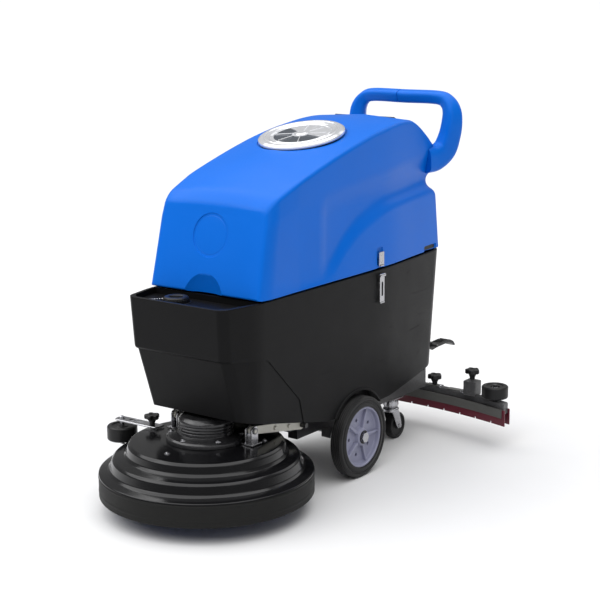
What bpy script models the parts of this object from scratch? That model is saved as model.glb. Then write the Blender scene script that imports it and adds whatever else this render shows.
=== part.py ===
"""Walk-behind floor scrubber: round brush deck, two tanks, drive wheels, casters and squeegee.

Metres, +Z up.  The origin is on the floor, in the middle of the machine's length and width.
-Y is the front (brush deck), +Y the rear (push handle and squeegee), +X the machine's left.
The machine stands in its transport position: deck and squeegee are raised off the floor.
"""
from math import atan2, cos, hypot, pi, radians, sin

import bmesh
import bpy
from mathutils import Euler, Matrix, Vector

# ---------------------------------------------------------------- driving dimensions
GAP = 0.0004                     # clearance kept between touching pieces

LENGTH = 1.345                   # deck front to pedal tip
FRONT = -LENGTH / 2
REAR = LENGTH / 2

# solution tank (black lower body)
TANK_TOP = 0.563
TANK_FLOOR = 0.187
TANK_WALL = 0.006
TANK_FRONT = -0.5095
TANK_REAR = 0.5285
TANK_STEP = 0.432                # height of the step across the front
LEDGE_REAR = -0.387              # back of the filler ledge
LEDGE_TOP = 0.548
FILLER = Vector((-0.050, -0.440))

# recovery tank (blue upper body)
BODY_BOTTOM = 0.5675
BODY_WALL = 0.005
LID_CENTRE = Vector((0.0, 0.0275, 0.935))
LID_TILT = radians(12.6)
LID_RADIUS = 0.119
PANEL_START = Vector((0.0, 0.3270, 0.9620))
PANEL_END = Vector((0.0, 0.4770, 0.8888))
PANEL_SLOPE = atan2(PANEL_START.z - PANEL_END.z, PANEL_END.y - PANEL_START.y)

# wheels
WHEEL_RADIUS = 0.1135
WHEEL_WIDTH = 0.039
WHEEL_OUTER = 0.199
AXLE = Vector((0.0, 0.0415, WHEEL_RADIUS))
AXLE_RADIUS = 0.0095
CASTER = Vector((0.072, 0.370, 0.0))
CASTER_RADIUS = 0.040
CASTER_TRAIL = 0.022
CASTER_TOP = 0.1340

# brush deck
DECK_RADIUS = 0.280
DECK = Vector((0.0, FRONT + DECK_RADIUS, 0.0))
DECK_LIFT = 0.045                # height of the skirt above the floor when raised
DECK_PLATE = 0.186
BRUSH_RADIUS = 0.254
MOTOR_RADIUS = 0.072
ARM_X = 0.125
ARM_PIVOT = Vector((0.0, -0.1525, 0.1855))
ARM_PIN = Vector((0.0, -0.3625, 0.2220))
ROLLER = Vector((-0.292, -0.398, 0.152))

# squeegee
BLADE_HALF = 0.383
BLADE_RADIUS = 1.40              # plan radius of the bow
BLADE_BACK = 0.5860              # rear face of the bow at its middle
BLADE_FOOT = 0.060
BEAM_TOP = 0.128
SQUEEGEE_PIVOT = Vector((0.0, 0.2500, 0.1240))
SWIVEL = Vector((0.0, 0.5360, 0.1400))
END_ROLLER = Vector((0.331, 0.534, 0.152))
INNER_KNOB = 0.105
OUTER_KNOB = 0.246
BRACKET_TOP = 0.170

# push handle
BAR_Y = 0.5465
BAR_Z = 1.004

OBJECT_NAME = "floor_scrubber"


# ---------------------------------------------------------------- scene and materials
def clear_scene():
    for item in list(bpy.data.objects):
        bpy.data.objects.remove(item, do_unlink=True)


def collection(name):
    made = bpy.data.collections.new(name)
    bpy.context.scene.collection.children.link(made)
    return made


def material(name, colour, roughness, metallic=0.0):
    made = bpy.data.materials.new(name)
    made.use_nodes = True
    shader = made.node_tree.nodes["Principled BSDF"]
    shader.inputs["Base Color"].default_value = (*colour, 1.0)
    shader.inputs["Roughness"].default_value = roughness
    shader.inputs["Metallic"].default_value = metallic
    return made


FINISHES = {
    "blue_plastic": ((0.010, 0.130, 0.640), 0.35, 0.0),
    "black_plastic": ((0.022, 0.022, 0.024), 0.50, 0.0),
    "gloss_black": ((0.016, 0.016, 0.018), 0.22, 0.0),
    "black_rubber": ((0.020, 0.020, 0.021), 0.65, 0.0),
    "maroon_rubber": ((0.200, 0.012, 0.040), 0.50, 0.0),
    "rim_plastic": ((0.230, 0.240, 0.310), 0.40, 0.0),
    "lid_plastic": ((0.750, 0.760, 0.780), 0.20, 0.0),
    "zinc": ((0.620, 0.620, 0.640), 0.30, 1.0),
    "cream_paint": ((0.720, 0.700, 0.640), 0.45, 0.0),
    "dark_paint": ((0.060, 0.060, 0.065), 0.45, 0.3),
    "grey_plastic": ((0.300, 0.300, 0.310), 0.50, 0.0),
    "motor_metal": ((0.080, 0.080, 0.085), 0.40, 0.6),
    "bristle": ((0.120, 0.160, 0.330), 0.70, 0.0),
    "signal_red": ((0.600, 0.020, 0.020), 0.40, 0.0),
}


def link(obj, group):
    group.objects.link(obj)
    return obj


def add_part(obj, finish, sharp_angle=35):
    """Puts a finished piece in the machine's collection, with its material and shading."""
    obj.data.materials.clear()
    obj.data.materials.append(MATERIALS[finish])
    obj.data.shade_smooth()
    obj.data.set_sharp_from_angle(angle=radians(sharp_angle))
    if obj.name not in PARTS.objects:
        link(obj, PARTS)
    return obj


def mesh_object(name, bm):
    bmesh.ops.recalc_face_normals(bm, faces=bm.faces)
    data = bpy.data.meshes.new(name)
    bm.to_mesh(data)
    bm.free()
    return bpy.data.objects.new(name, data)


# ---------------------------------------------------------------- shapes
AXIS_TURN = {
    "X": Matrix.Rotation(pi / 2, 4, "Y"),
    "Y": Matrix.Rotation(pi / 2, 4, "X"),
    "Z": Matrix.Identity(4),
}


def bevel_edges(bm, width, segments=2, keep=None):
    edges = [edge for edge in bm.edges if keep is None or keep(edge)]
    bmesh.ops.bevel(bm, geom=edges, offset=width, segments=segments, affect="EDGES",
                    profile=0.5, clamp_overlap=True)


def block(name, size, centre, bevel=0.0, turn=(0.0, 0.0, 0.0), segments=1):
    """A box with its scale applied and its edges rounded."""
    bm = bmesh.new()
    bmesh.ops.create_cube(bm, size=1.0)
    bmesh.ops.scale(bm, vec=Vector(size), verts=bm.verts)
    if bevel:
        bevel_edges(bm, bevel, segments)
    place = Matrix.Translation(Vector(centre)) @ Euler(turn).to_matrix().to_4x4()
    bmesh.ops.transform(bm, matrix=place, verts=bm.verts)
    return mesh_object(name, bm)


def bar(name, low, high, bevel=0.0):
    """A box given by its two far corners."""
    size = [b - a for a, b in zip(low, high)]
    return block(name, size, [(a + b) / 2 for a, b in zip(low, high)], bevel)


def rod(name, radius, length, centre, axis="Z", sides=24, bevel=0.0, turn=None):
    """A cylinder about an axis through its centre."""
    bm = bmesh.new()
    bmesh.ops.create_cone(bm, cap_ends=True, segments=sides, radius1=radius,
                          radius2=radius, depth=length)
    if bevel:
        bevel_edges(bm, bevel, 1, lambda edge: len(edge.link_faces) == 2
                    and min(len(face.verts) for face in edge.link_faces) == 4
                    and max(len(face.verts) for face in edge.link_faces) > 4)
    spin = AXIS_TURN[axis] if turn is None else Euler(turn).to_matrix().to_4x4()
    bmesh.ops.transform(bm, matrix=Matrix.Translation(Vector(centre)) @ spin, verts=bm.verts)
    return mesh_object(name, bm)


def turned(name, profile, centre=(0, 0, 0), axis="Z", steps=48, turn=None):
    """A lathe shape: (radius, height) points down the outer side; a bored shape's loop is closed."""
    bm = bmesh.new()
    verts = [bm.verts.new((radius, 0.0, height)) for radius, height in profile]
    bored = profile[0][0] > 0 and profile[-1][0] > 0
    for first, second in zip(verts, verts[1:] + (verts[:1] if bored else [])):
        bm.edges.new((first, second))
    data = bpy.data.meshes.new(name)
    bm.to_mesh(data)
    bm.free()
    obj = bpy.data.objects.new(name, data)
    screw = obj.modifiers.new("turn", "SCREW")
    screw.axis = "Z"
    screw.steps = steps
    screw.render_steps = steps
    screw.use_merge_vertices = True
    screw.merge_threshold = 0.00005
    spin = AXIS_TURN[axis] if turn is None else Euler(turn).to_matrix().to_4x4()
    obj.matrix_world = Matrix.Translation(Vector(centre)) @ spin
    return baked(obj)


def baked(obj):
    """The same object with its modifiers and its placement worked into a welded mesh."""
    scratch = obj.name not in bpy.context.scene.collection.objects
    if scratch:
        bpy.context.scene.collection.objects.link(obj)
    bpy.context.view_layer.update()
    graph = bpy.context.evaluated_depsgraph_get()
    data = bpy.data.meshes.new_from_object(obj.evaluated_get(graph), depsgraph=graph)
    data.transform(obj.matrix_world)
    bm = bmesh.new()
    bm.from_mesh(data)
    bmesh.ops.remove_doubles(bm, verts=bm.verts, dist=0.00001)
    bmesh.ops.recalc_face_normals(bm, faces=bm.faces)
    bm.to_mesh(data)
    bm.free()
    name = obj.name
    bpy.data.objects.remove(obj, do_unlink=True)
    data.name = name
    return bpy.data.objects.new(name, data)


def tube(name, points, radius, resolution=2):
    """A round bar along a route, with filled ends."""
    curve = bpy.data.curves.new(name, "CURVE")
    curve.dimensions = "3D"
    curve.bevel_depth = radius
    curve.bevel_resolution = resolution
    curve.use_fill_caps = True
    spline = curve.splines.new("POLY")
    spline.points.add(len(points) - 1)
    for index, point in enumerate(points):
        spline.points[index].co = (*point, 1.0)
    return baked(bpy.data.objects.new(name, curve))


def plate(name, outline, thickness, place=None):
    """A flat outline in the XY plane, thickened evenly and then placed."""
    curve = bpy.data.curves.new(name, "CURVE")
    curve.dimensions = "2D"
    curve.fill_mode = "BOTH"
    curve.extrude = thickness / 2
    spline = curve.splines.new("POLY")
    spline.points.add(len(outline) - 1)
    for index, (across, along) in enumerate(outline):
        spline.points[index].co = (across, along, 0.0, 1.0)
    spline.use_cyclic_u = True
    obj = bpy.data.objects.new(name, curve)
    obj.matrix_world = place or Matrix.Identity(4)
    return baked(obj)


SIDE_VIEW = Matrix(((0, 0, 1, 0), (1, 0, 0, 0), (0, 1, 0, 0), (0, 0, 0, 1)))


def side_plate(name, outline, thickness, x):
    """A plate whose outline is drawn in the side view as (y, z), centred on x."""
    return plate(name, outline, thickness, Matrix.Translation((x, 0, 0)) @ SIDE_VIEW)


def loft(name, rings):
    """A closed skin over rings of equal length; each ring starts at its middle line."""
    bm = bmesh.new()
    rows = [[bm.verts.new(point) for point in ring] for ring in rings]
    count = len(rows[0])
    for low, high in zip(rows, rows[1:]):
        for index in range(count):
            after = (index + 1) % count
            bm.faces.new((low[index], low[after], high[after], high[index]))
    middle = count // 2
    for row in (rows[0], rows[-1]):
        bm.faces.new([row[0], row[1], row[2], row[-2], row[-1]])
        for index in range(2, middle - 2):
            bm.faces.new((row[index], row[index + 1], row[-index - 1], row[-index]))
        bm.faces.new(row[middle - 2:middle + 3])
    return mesh_object(name, bm)


def mirrored_ring(half):
    """A whole ring from its +X half, whose first and last points lie on the middle plane."""
    return list(half) + [(-x, y, z) for x, y, z in reversed(half[1:-1])]


def boolean(obj, other, operation):
    if other.name not in CUTTERS.objects:
        link(other, CUTTERS)
    other.hide_render = True
    other.display_type = "WIRE"
    modifier = obj.modifiers.new(operation.lower(), "BOOLEAN")
    modifier.operation = operation
    modifier.solver = "EXACT"
    modifier.object = other
    return obj


def cut(obj, *cutters):
    for cutter in cutters:
        boolean(obj, cutter, "DIFFERENCE")
    return obj


def weld(obj, *others):
    """One body from several overlapping shapes."""
    for other in others:
        boolean(obj, other, "UNION")
    return obj


def along(value, knots):
    """Straight-line reading of a short list of (position, size) knots."""
    if value <= knots[0][0]:
        return knots[0][1]
    for (start, low), (end, high) in zip(knots, knots[1:]):
        if value <= end:
            return low + (high - low) * (value - start) / (end - start)
    return knots[-1][1]


def arc(centre, radius, start, end, count):
    """Points of an arc in a plane, angles in degrees."""
    angles = [radians(start + (end - start) * index / (count - 1)) for index in range(count)]
    return [(centre[0] + radius * cos(a), centre[1] + radius * sin(a)) for a in angles]


# ---------------------------------------------------------------- solution tank
PLAN_FRONT_HALF = 0.142
TANK_HALF = [(-0.4925, 0.160), (-0.3975, 0.180), (0.040, 0.180), (0.190, 0.177),
             (0.380, 0.157), (0.500, 0.143)]
TANK_FRONT_LINE = [(0.180, -0.4170), (0.265, -0.4425), (0.426, -0.4925), (TANK_STEP, -0.5000),
                   (TANK_TOP, TANK_FRONT)]
TANK_REAR_LINE = [(0.190, 0.4975), (TANK_TOP, TANK_REAR)]


def tank_outline(z, inset=0.0):
    """Half plan of the lower body at a height, from its front middle to its rear middle."""
    narrow = 0.010 * (TANK_TOP - z) / TANK_TOP + inset
    nose = along(z, TANK_FRONT_LINE) + inset
    tail = along(z, TANK_REAR_LINE) - inset
    points = [(0.0, nose, z), (PLAN_FRONT_HALF - narrow, nose, z)]
    for y, half in TANK_HALF:
        if y < -0.45:
            y += nose - TANK_FRONT
        elif y > 0.45:
            y += tail - TANK_REAR
        points.append((half - narrow, y, z))
    return points + [(0.130 - narrow, tail, z), (0.0, tail, z)]


def tank_loft(name, levels, inset=0.0):
    return loft(name, [mirrored_ring(tank_outline(z, inset)) for z in levels])


def underside(name, raise_by):
    """Everything below the tank's sloping bottom."""
    outline = [(-0.70, 0.0), (-0.70, 0.3224 + raise_by), (-0.0925, TANK_FLOOR + raise_by),
               (0.215, TANK_FLOOR + raise_by), (0.62, 0.2290 + raise_by), (0.62, 0.0)]
    return side_plate(name, outline, 0.60, 0.0)


def wheel_arches(tag, grow):
    for side in (-1, 1):
        inner = WHEEL_OUTER - WHEEL_WIDTH - 0.012 - grow
        yield rod(f"arch_{tag}_{side}", WHEEL_RADIUS + 0.014 + grow, 0.10,
                  (side * (inner + 0.05), AXLE.y + 0.004, AXLE.z), "X", sides=24)


def motor_well(tag, grow):
    return rod(f"motor_well_{tag}", MOTOR_RADIUS + 0.008 + grow, 0.20,
               (0.0, DECK.y, 0.162 + grow), "Z", sides=24)


def make_solution_tank():
    tank = tank_loft("solution_tank", [0.180, 0.265, 0.426, TANK_STEP, TANK_TOP])
    cavity = tank_loft("tank_cavity", [0.186, 0.265, 0.426, 0.540], inset=TANK_WALL)
    cut(cavity, underside("cavity_floor", TANK_WALL), *wheel_arches("wall", TANK_WALL),
        motor_well("wall", TANK_WALL))
    mouth = tank_loft("tank_mouth", [0.530, 0.600], inset=TANK_WALL - 0.001)
    cut(mouth, bar("ledge_side", (-0.3, -0.7, 0.5), (0.3, LEDGE_REAR + 0.008, 0.7)))
    pocket = tank_loft("ledge_pocket", [LEDGE_TOP, 0.600], inset=0.010)
    cut(pocket, bar("mouth_side", (-0.3, LEDGE_REAR, 0.5), (0.3, 0.7, 0.7)))
    neck_hole = rod("neck_hole", 0.024, 0.06, (*FILLER, LEDGE_TOP), sides=24)
    cut(tank, underside("tank_underside", 0.0), *wheel_arches("open", 0.0),
        motor_well("open", 0.0), cavity, mouth, pocket, neck_hole)
    return add_part(tank, "black_plastic")


def make_filler():
    cap = turned("fill_cap", [(0.0, 0.015), (0.030, 0.015), (0.034, 0.011), (0.034, 0.0),
                              (0.022, 0.0), (0.022, -0.010), (0.0, -0.010)],
                 (*FILLER, LEDGE_TOP + GAP), steps=20)
    add_part(cap, "black_plastic")
    start = Vector((-0.122, -0.470, LEDGE_TOP + 0.0045))
    end = Vector((FILLER.x - 0.0375, FILLER.y, LEDGE_TOP + 0.0045))
    route = []
    for index in range(11):
        share = index / 10
        point = start.lerp(end, share)
        point.y -= 0.008 * sin(pi * share)
        route.append(point)
    add_part(tube("fill_chain", route, 0.0016), "zinc")


# ---------------------------------------------------------------- recovery tank
BODY_HALF = [(-0.3605, 0.188), (-0.235, 0.184), (0.050, 0.180), (0.190, 0.176),
             (0.380, 0.155), (0.520, 0.140)]
EDGE_HALF = [(-0.300, 0.177), (-0.235, 0.181), (0.000, 0.1795), (0.150, 0.1720),
             (0.325, 0.156), (0.512, 0.132)]
EDGE_HEIGHT = [(-0.300, 0.817), (-0.235, 0.841), (-0.150, 0.8675), (-0.050, 0.896),
               (0.050, 0.921), (0.150, 0.941), (0.300, 0.958), (0.3265, 0.957),
               (0.512, 0.868)]
TOP_HEIGHT = [(-0.290, 0.826), (-0.2625, 0.842), (-0.1625, 0.880), (-0.0625, 0.911),
              (0.0275, 0.933), (0.1375, 0.953), (0.2475, 0.965), (0.3175, 0.967),
              (0.512, 0.872)]
CREASE_HEIGHT = [(-0.2855, 0.763), (-0.2035, 0.776), (-0.1175, 0.794), (-0.0275, 0.807),
                 (0.1625, 0.826), (0.512, 0.858)]
VALLEY_HEIGHT = [(-0.1175, 0.740), (0.0035, 0.758), (0.2725, 0.768), (0.512, 0.784)]
BULGE_HEIGHT = [(-0.1175, 0.580), (-0.0775, 0.594), (-0.010, 0.645), (0.0665, 0.686),
                (0.2295, 0.728), (0.512, 0.742)]
VALLEY_DEPTH = [(-0.120, 0.0), (-0.095, 0.007), (0.100, 0.013), (0.512, 0.016)]
STATIONS = [-0.235, -0.160, -0.110, -0.075, -0.030, 0.030, 0.090, 0.150, 0.230, 0.3175,
            0.400, 0.455]


def body_section(y):
    """Half section of the upper body, bottom middle to top middle."""
    half = along(y, BODY_HALF)
    depth = along(y, VALLEY_DEPTH)
    top = along(y, TOP_HEIGHT)
    valley = along(y, VALLEY_HEIGHT)
    bulge = along(y, BULGE_HEIGHT)
    foot = min(valley - 0.012, bulge + 0.030)
    return [(0.0, y, BODY_BOTTOM), (half, y, BODY_BOTTOM), (half - 0.004, y, bulge),
            (half - 0.006 - depth, y, foot), (half - 0.006 - depth, y, valley + 0.012),
            (half - 0.006, y, along(y, CREASE_HEIGHT)),
            (along(y, EDGE_HALF), y, along(y, EDGE_HEIGHT)),
            (0.100, y, top - 0.006), (0.0, y, top)]


def front_section(half, low, high, y_low, y_high, crown):
    """Half outline of the front face or of its corner chamfer."""
    heights = [BODY_BOTTOM, 0.600, 0.660, 0.700, 0.750]
    points = [(0.0, y_low, BODY_BOTTOM)]
    for z in heights:
        share = (z - BODY_BOTTOM) / (high - BODY_BOTTOM)
        points.append((half + (low - half) * share, y_low + (y_high - y_low) * share, z))
    points.append((low - 0.006, y_high, high))
    points.append((0.085, y_high, high + crown * 0.8))
    points.append((0.0, y_high, high + crown))
    return points


def rear_section():
    """Half outline of the rear face, stepped in above the bulged lower panel."""
    return [(0.0, 0.522, BODY_BOTTOM), (0.140, 0.520, BODY_BOTTOM), (0.137, 0.503, 0.735),
            (0.122, 0.472, 0.757), (0.122, 0.472, 0.784), (0.134, 0.505, 0.806),
            (0.130, 0.500, 0.872), (0.100, 0.500, 0.875), (0.0, 0.500, 0.878)]


def body_rings():
    front = front_section(0.178, 0.172, 0.787, -0.3955, -0.3430, 0.006)
    corner = front_section(0.188, 0.181, 0.8085, -0.3605, -0.3150, 0.014)
    return [front, corner] + [body_section(y) for y in STATIONS] + [rear_section()]


def body_loft(name, grow):
    """The upper body's skin, made larger all round or, with a negative value, smaller."""
    rings = []
    for half in body_rings():
        ring = []
        for index, (x, y, z) in enumerate(half):
            x = max(x + grow, 0.0) if x else 0.0
            z = z - grow if index < 2 else z + (grow if index > 5 else 0.0)
            ring.append((x, y + grow * (1 if y > 0.05 else -1), z))
        rings.append(mirrored_ring(ring))
    return loft(name, rings)


def lid_place(height):
    """A point on the lid's axis, above or below its rim."""
    return LID_CENTRE + Vector((0.0, -sin(LID_TILT), cos(LID_TILT))) * height


def panel_point(across, down, height):
    """A point on the sloping console: across the machine, down the slope, above its surface."""
    middle = (PANEL_START + PANEL_END) / 2
    return (middle + Vector((across, cos(PANEL_SLOPE) * down, -sin(PANEL_SLOPE) * down))
            + Vector((0.0, sin(PANEL_SLOPE), cos(PANEL_SLOPE))) * height)


def make_recovery_tank():
    tank = body_loft("recovery_tank", 0.0)
    cavity = body_loft("body_cavity", -BODY_WALL)
    cut(cavity, block("dry_side", (0.40, 0.30, 0.60), (0.0, 0.475, 0.75)))
    dry_cavity = body_loft("dry_cavity", -BODY_WALL)
    cut(dry_cavity, block("wet_side", (0.40, 0.90, 0.60), (0.0, -0.119, 0.75)))
    tilt = (LID_TILT, 0.0, 0.0)
    seat = rod("lid_seat", LID_RADIUS + 0.004, 0.060, lid_place(0.0175), sides=32, turn=tilt)
    mouth = rod("lid_mouth", 0.094, 0.100, lid_place(-0.030), sides=24, turn=tilt)
    intake = rod("vacuum_intake", 0.045, 0.05, (0.0, 0.415, BODY_BOTTOM), sides=32)
    recess = block("panel_recess", (0.204, 0.164, 0.030), panel_point(0.0, 0.0, 0.012),
                   turn=(-PANEL_SLOPE, 0, 0))
    cut(tank, cavity, dry_cavity, seat, mouth, intake, recess)
    add_part(tank, "blue_plastic", 25)


HANDLE_ROUTE = [          # middle of the grip's section, then its half width and half depth
    ((0.128, 0.4550, 0.829), 0.024, 0.036), ((0.136, 0.4950, 0.833), 0.025, 0.036),
    ((0.148, 0.5280, 0.856), 0.026, 0.034), ((0.159, 0.5370, 0.893), 0.026, 0.030),
    ((0.165, 0.5400, 0.930), 0.025, 0.028), ((0.163, 0.5430, 0.965), 0.023, 0.025),
    ((0.147, 0.5460, 0.991), 0.020, 0.021), ((0.113, BAR_Y, BAR_Z), 0.018, 0.0185)]


def squared_ring(middle, across, deep, half_width, half_depth, count=12):
    """A rounded-square ring about a middle point, in the plane of two directions."""
    ring = []
    for index in range(count):
        turn = 2 * pi * (index + 0.5) / count
        reach = (abs(cos(turn)) ** 3 + abs(sin(turn)) ** 3) ** (-1 / 3)
        ring.append(middle + across * (half_width * reach * cos(turn))
                    + deep * (half_depth * reach * sin(turn)))
    return ring


def swept(name, stops):
    """A closed bar along a route of (point, half width, half depth)."""
    points = [Vector(point) for point, _, _ in stops]
    across = Vector((1.0, 0.0, 0.0))
    bm = bmesh.new()
    rows = []
    for index, (point, (_, half_width, half_depth)) in enumerate(zip(points, stops)):
        ahead = points[min(index + 1, len(points) - 1)] - points[max(index - 1, 0)]
        ahead.normalize()
        across = (across - ahead * across.dot(ahead)).normalized()
        ring = squared_ring(point, across, ahead.cross(across), half_width, half_depth)
        rows.append([bm.verts.new(corner) for corner in ring])
    for first, second in zip(rows, rows[1:]):
        for index in range(len(first)):
            after = (index + 1) % len(first)
            bm.faces.new((first[index], first[after], second[after], second[index]))
    bm.faces.new(rows[0])
    bm.faces.new(rows[-1])
    return mesh_object(name, bm)


def make_handle():
    stops = HANDLE_ROUTE + [((-x, y, z), width, depth)
                            for (x, y, z), width, depth in reversed(HANDLE_ROUTE)]
    handle = swept("push_handle", stops)
    cut(handle, body_loft("handle_seat", 0.0012))
    add_part(handle, "blue_plastic", 40)


def make_lid():
    tilt = (LID_TILT, 0.0, 0.0)
    lid = turned("tank_lid", [(0.0, 0.000), (0.092, 0.000), (0.097, 0.004), (0.113, 0.004),
                              (LID_RADIUS, -0.001), (LID_RADIUS, -0.008), (0.088, -0.008),
                              (0.088, -0.020), (0.084, -0.020), (0.084, -0.006), (0.0, -0.006)],
                 lid_place(0.0), turn=tilt, steps=28)
    add_part(lid, "lid_plastic")


def make_float():
    cage = turned("float_cage", [(0.0, 0.654), (0.030, 0.654), (0.030, 0.760), (0.034, 0.760),
                                 (0.034, 0.650), (0.0, 0.650)], (0.0, 0.240, 0.0), steps=24)
    bracket = block("cage_bracket", (0.030, 0.0525, 0.006), (0.0, 0.2982, 0.752))
    add_part(weld(cage, bracket), "grey_plastic")
    bm = bmesh.new()
    bmesh.ops.create_uvsphere(bm, u_segments=12, v_segments=8, radius=0.021)
    bmesh.ops.translate(bm, verts=bm.verts, vec=(0.0, 0.240, 0.6755))
    add_part(mesh_object("float_ball", bm), "signal_red")


def make_vacuum_motor():
    floor = BODY_BOTTOM + BODY_WALL + GAP
    motor = turned("vacuum_motor", [(0.0, 0.110), (0.030, 0.110), (0.034, 0.090), (0.052, 0.086),
                                    (0.054, 0.040), (0.062, 0.038), (0.062, 0.006),
                                    (0.064, 0.000), (0.0, 0.000)], (0.0, 0.415, floor), steps=16)
    add_part(motor, "motor_metal")


def make_console():
    slope = (-PANEL_SLOPE, 0.0, 0.0)
    panel = block("control_panel", (0.2032, 0.1632, 0.0050), panel_point(0, 0, -0.0001), 0.0008,
                  slope)
    add_part(panel, "black_plastic")
    face = 0.0024 + GAP
    key = rod("key_switch", 0.0110, 0.0080, panel_point(-0.072, 0.020, face + 0.004), turn=slope,
              sides=16)
    bow = block("key_bow", (0.0035, 0.020, 0.024), panel_point(-0.072, 0.020, face + 0.018),
                0.001, slope)
    add_part(weld(key, bow), "zinc")
    for name, across in (("brush_switch", -0.024), ("vacuum_switch", 0.024)):
        rocker = block(name, (0.020, 0.028, 0.007), panel_point(across, 0.020, face + 0.0052),
                       0.0015, slope)
        add_part(rocker, "signal_red" if name == "vacuum_switch" else "grey_plastic")
    knob = turned("valve_knob", [(0.0, 0.018), (0.014, 0.018), (0.0165, 0.015), (0.018, 0.0),
                                 (0.0, 0.0)], panel_point(0.072, 0.020, face), turn=slope,
                  steps=24)
    add_part(knob, "black_plastic")


LATCH_Y = 0.148


def make_latches():
    for side, tag in ((1, "left"), (-1, "right")):
        keeper = block(f"latch_keeper_{tag}", (0.0050, 0.024, 0.040),
                       (side * 0.1808, LATCH_Y, 0.5930), 0.001)
        add_part(keeper, "zinc")
        lever = block(f"latch_lever_{tag}", (0.0045, 0.022, 0.082), (side * 0.1832, LATCH_Y, 0.5110),
                      0.001)
        barrel = rod(f"latch_barrel_{tag}", 0.0048, 0.026, (side * 0.1842, LATCH_Y, 0.5480), "Y",
                     sides=16)
        add_part(weld(lever, barrel), "zinc")


def make_tank_hinge():
    pin = Vector((0.0, 0.5385, 0.5645))
    hinge = block("tank_hinge", (0.160, 0.0030, 0.050), (0.0, 0.5307, 0.5240))
    shaft = rod("hinge_shaft", 0.0050, 0.160, pin, "X", sides=16)
    knuckles = [block(f"hinge_knuckle_{side}", (0.014, 0.0115, 0.026),
                      (side * 0.073, 0.5360, 0.5570)) for side in (-1, 1)]
    add_part(weld(hinge, *knuckles, shaft), "zinc")
    bracket = block("hinge_bracket", (0.120, 0.0030, 0.050), (0.0, 0.5245, 0.5990))
    web = block("bracket_web", (0.120, 0.0140, 0.012), (0.0, 0.5300, 0.5750))
    barrel = rod("bracket_barrel", 0.0095, 0.120, pin, "X", sides=16)
    bore = rod("bracket_bore", 0.0054, 0.140, pin, "X", sides=16)
    add_part(cut(weld(bracket, web, barrel), bore), "zinc")


# ---------------------------------------------------------------- chassis and wheels
RAIL_X = 0.085
RAIL_LOW = CASTER_TOP + GAP
RAIL_HIGH = TANK_FLOOR - 0.0005
LEVER_PIN = Vector((0.0, 0.5340, 0.2620))


def make_frame():
    middle = 0.150
    frame = bar("main_frame", (-0.0701, 0.235, middle), (0.0701, 0.265, RAIL_HIGH))
    pieces = [bar("rear_member", (-0.0701, 0.490, middle), (0.0701, 0.520, RAIL_HIGH)),
              bar("front_member", (-0.0701, -0.172, 0.164), (0.0701, -0.150, RAIL_HIGH))]
    for side in (-1, 1):
        x = side * RAIL_X
        pieces += [
            bar(f"rail_{side}", (x - 0.015, -0.135, RAIL_LOW), (x + 0.015, 0.520, RAIL_HIGH)),
            bar(f"rail_nose_{side}", (x - 0.015, -0.172, 0.164), (x + 0.015, -0.130, RAIL_HIGH)),
            bar(f"axle_plate_{side}", (x - 0.015, AXLE.y - 0.022, 0.098),
                (x + 0.015, AXLE.y + 0.022, 0.136)),
            bar(f"squeegee_lug_{side}", (side * 0.034 - 0.004, 0.238, 0.112),
                (side * 0.034 + 0.004, 0.262, 0.152)),
            bar(f"lever_strap_{side}", (x - 0.015, 0.512, 0.140), (x + 0.015, 0.5195, 0.272)),
            rod(f"lever_pin_{side}", 0.0050, 0.064, (side * 0.100, LEVER_PIN.y, LEVER_PIN.z), "X",
                sides=16),
            bar(f"lever_lug_{side}", (side * 0.073 - 0.003, 0.519, 0.252),
                (side * 0.073 + 0.003, 0.541, 0.272)),
        ]
    shaft = rod("arm_pivot_shaft", 0.0070, 0.290, ARM_PIVOT, "X", sides=16)
    axle_bore = rod("axle_bore", AXLE_RADIUS + GAP, 0.30, AXLE, "X", sides=16)
    lug_bore = rod("lug_bore", 0.0064, 0.10, SQUEEGEE_PIVOT, "X", sides=16)
    weld(frame, *pieces, shaft)
    add_part(cut(frame, axle_bore, lug_bore), "dark_paint")


def make_axle():
    axle = rod("axle", AXLE_RADIUS, 0.4080, AXLE, "X", sides=24)
    heads = [rod(f"axle_head_{side}", 0.0150, 0.0050, AXLE + Vector((side * 0.2017, 0, 0)), "X",
                 sides=6) for side in (-1, 1)]
    add_part(weld(axle, *heads), "zinc")


def make_wheels():
    half = WHEEL_WIDTH / 2
    for side, tag in ((1, "left"), (-1, "right")):
        centre = AXLE + Vector((side * (WHEEL_OUTER - half), 0.0, 0.0))
        tread = WHEEL_RADIUS
        tyre = turned(f"{tag}_tyre", [(tread, half - 0.006), (tread, -half + 0.006),
                                      (tread - 0.006, -half), (0.0845, -half), (0.0845, half),
                                      (tread - 0.006, half)], centre, "X", steps=28)
        add_part(tyre, "black_rubber")
        rim = turned(f"{tag}_rim", [(0.0840, 0.017), (0.0840, -0.017), (0.0760, -0.004),
                                    (0.0260, -0.004), (0.0240, -0.018), (0.0100, -0.018),
                                    (0.0100, 0.018), (0.0240, 0.018), (0.0260, 0.004),
                                    (0.0760, 0.004)],
                     centre, "X", steps=28)
        add_part(rim, "rim_plastic")


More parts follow.
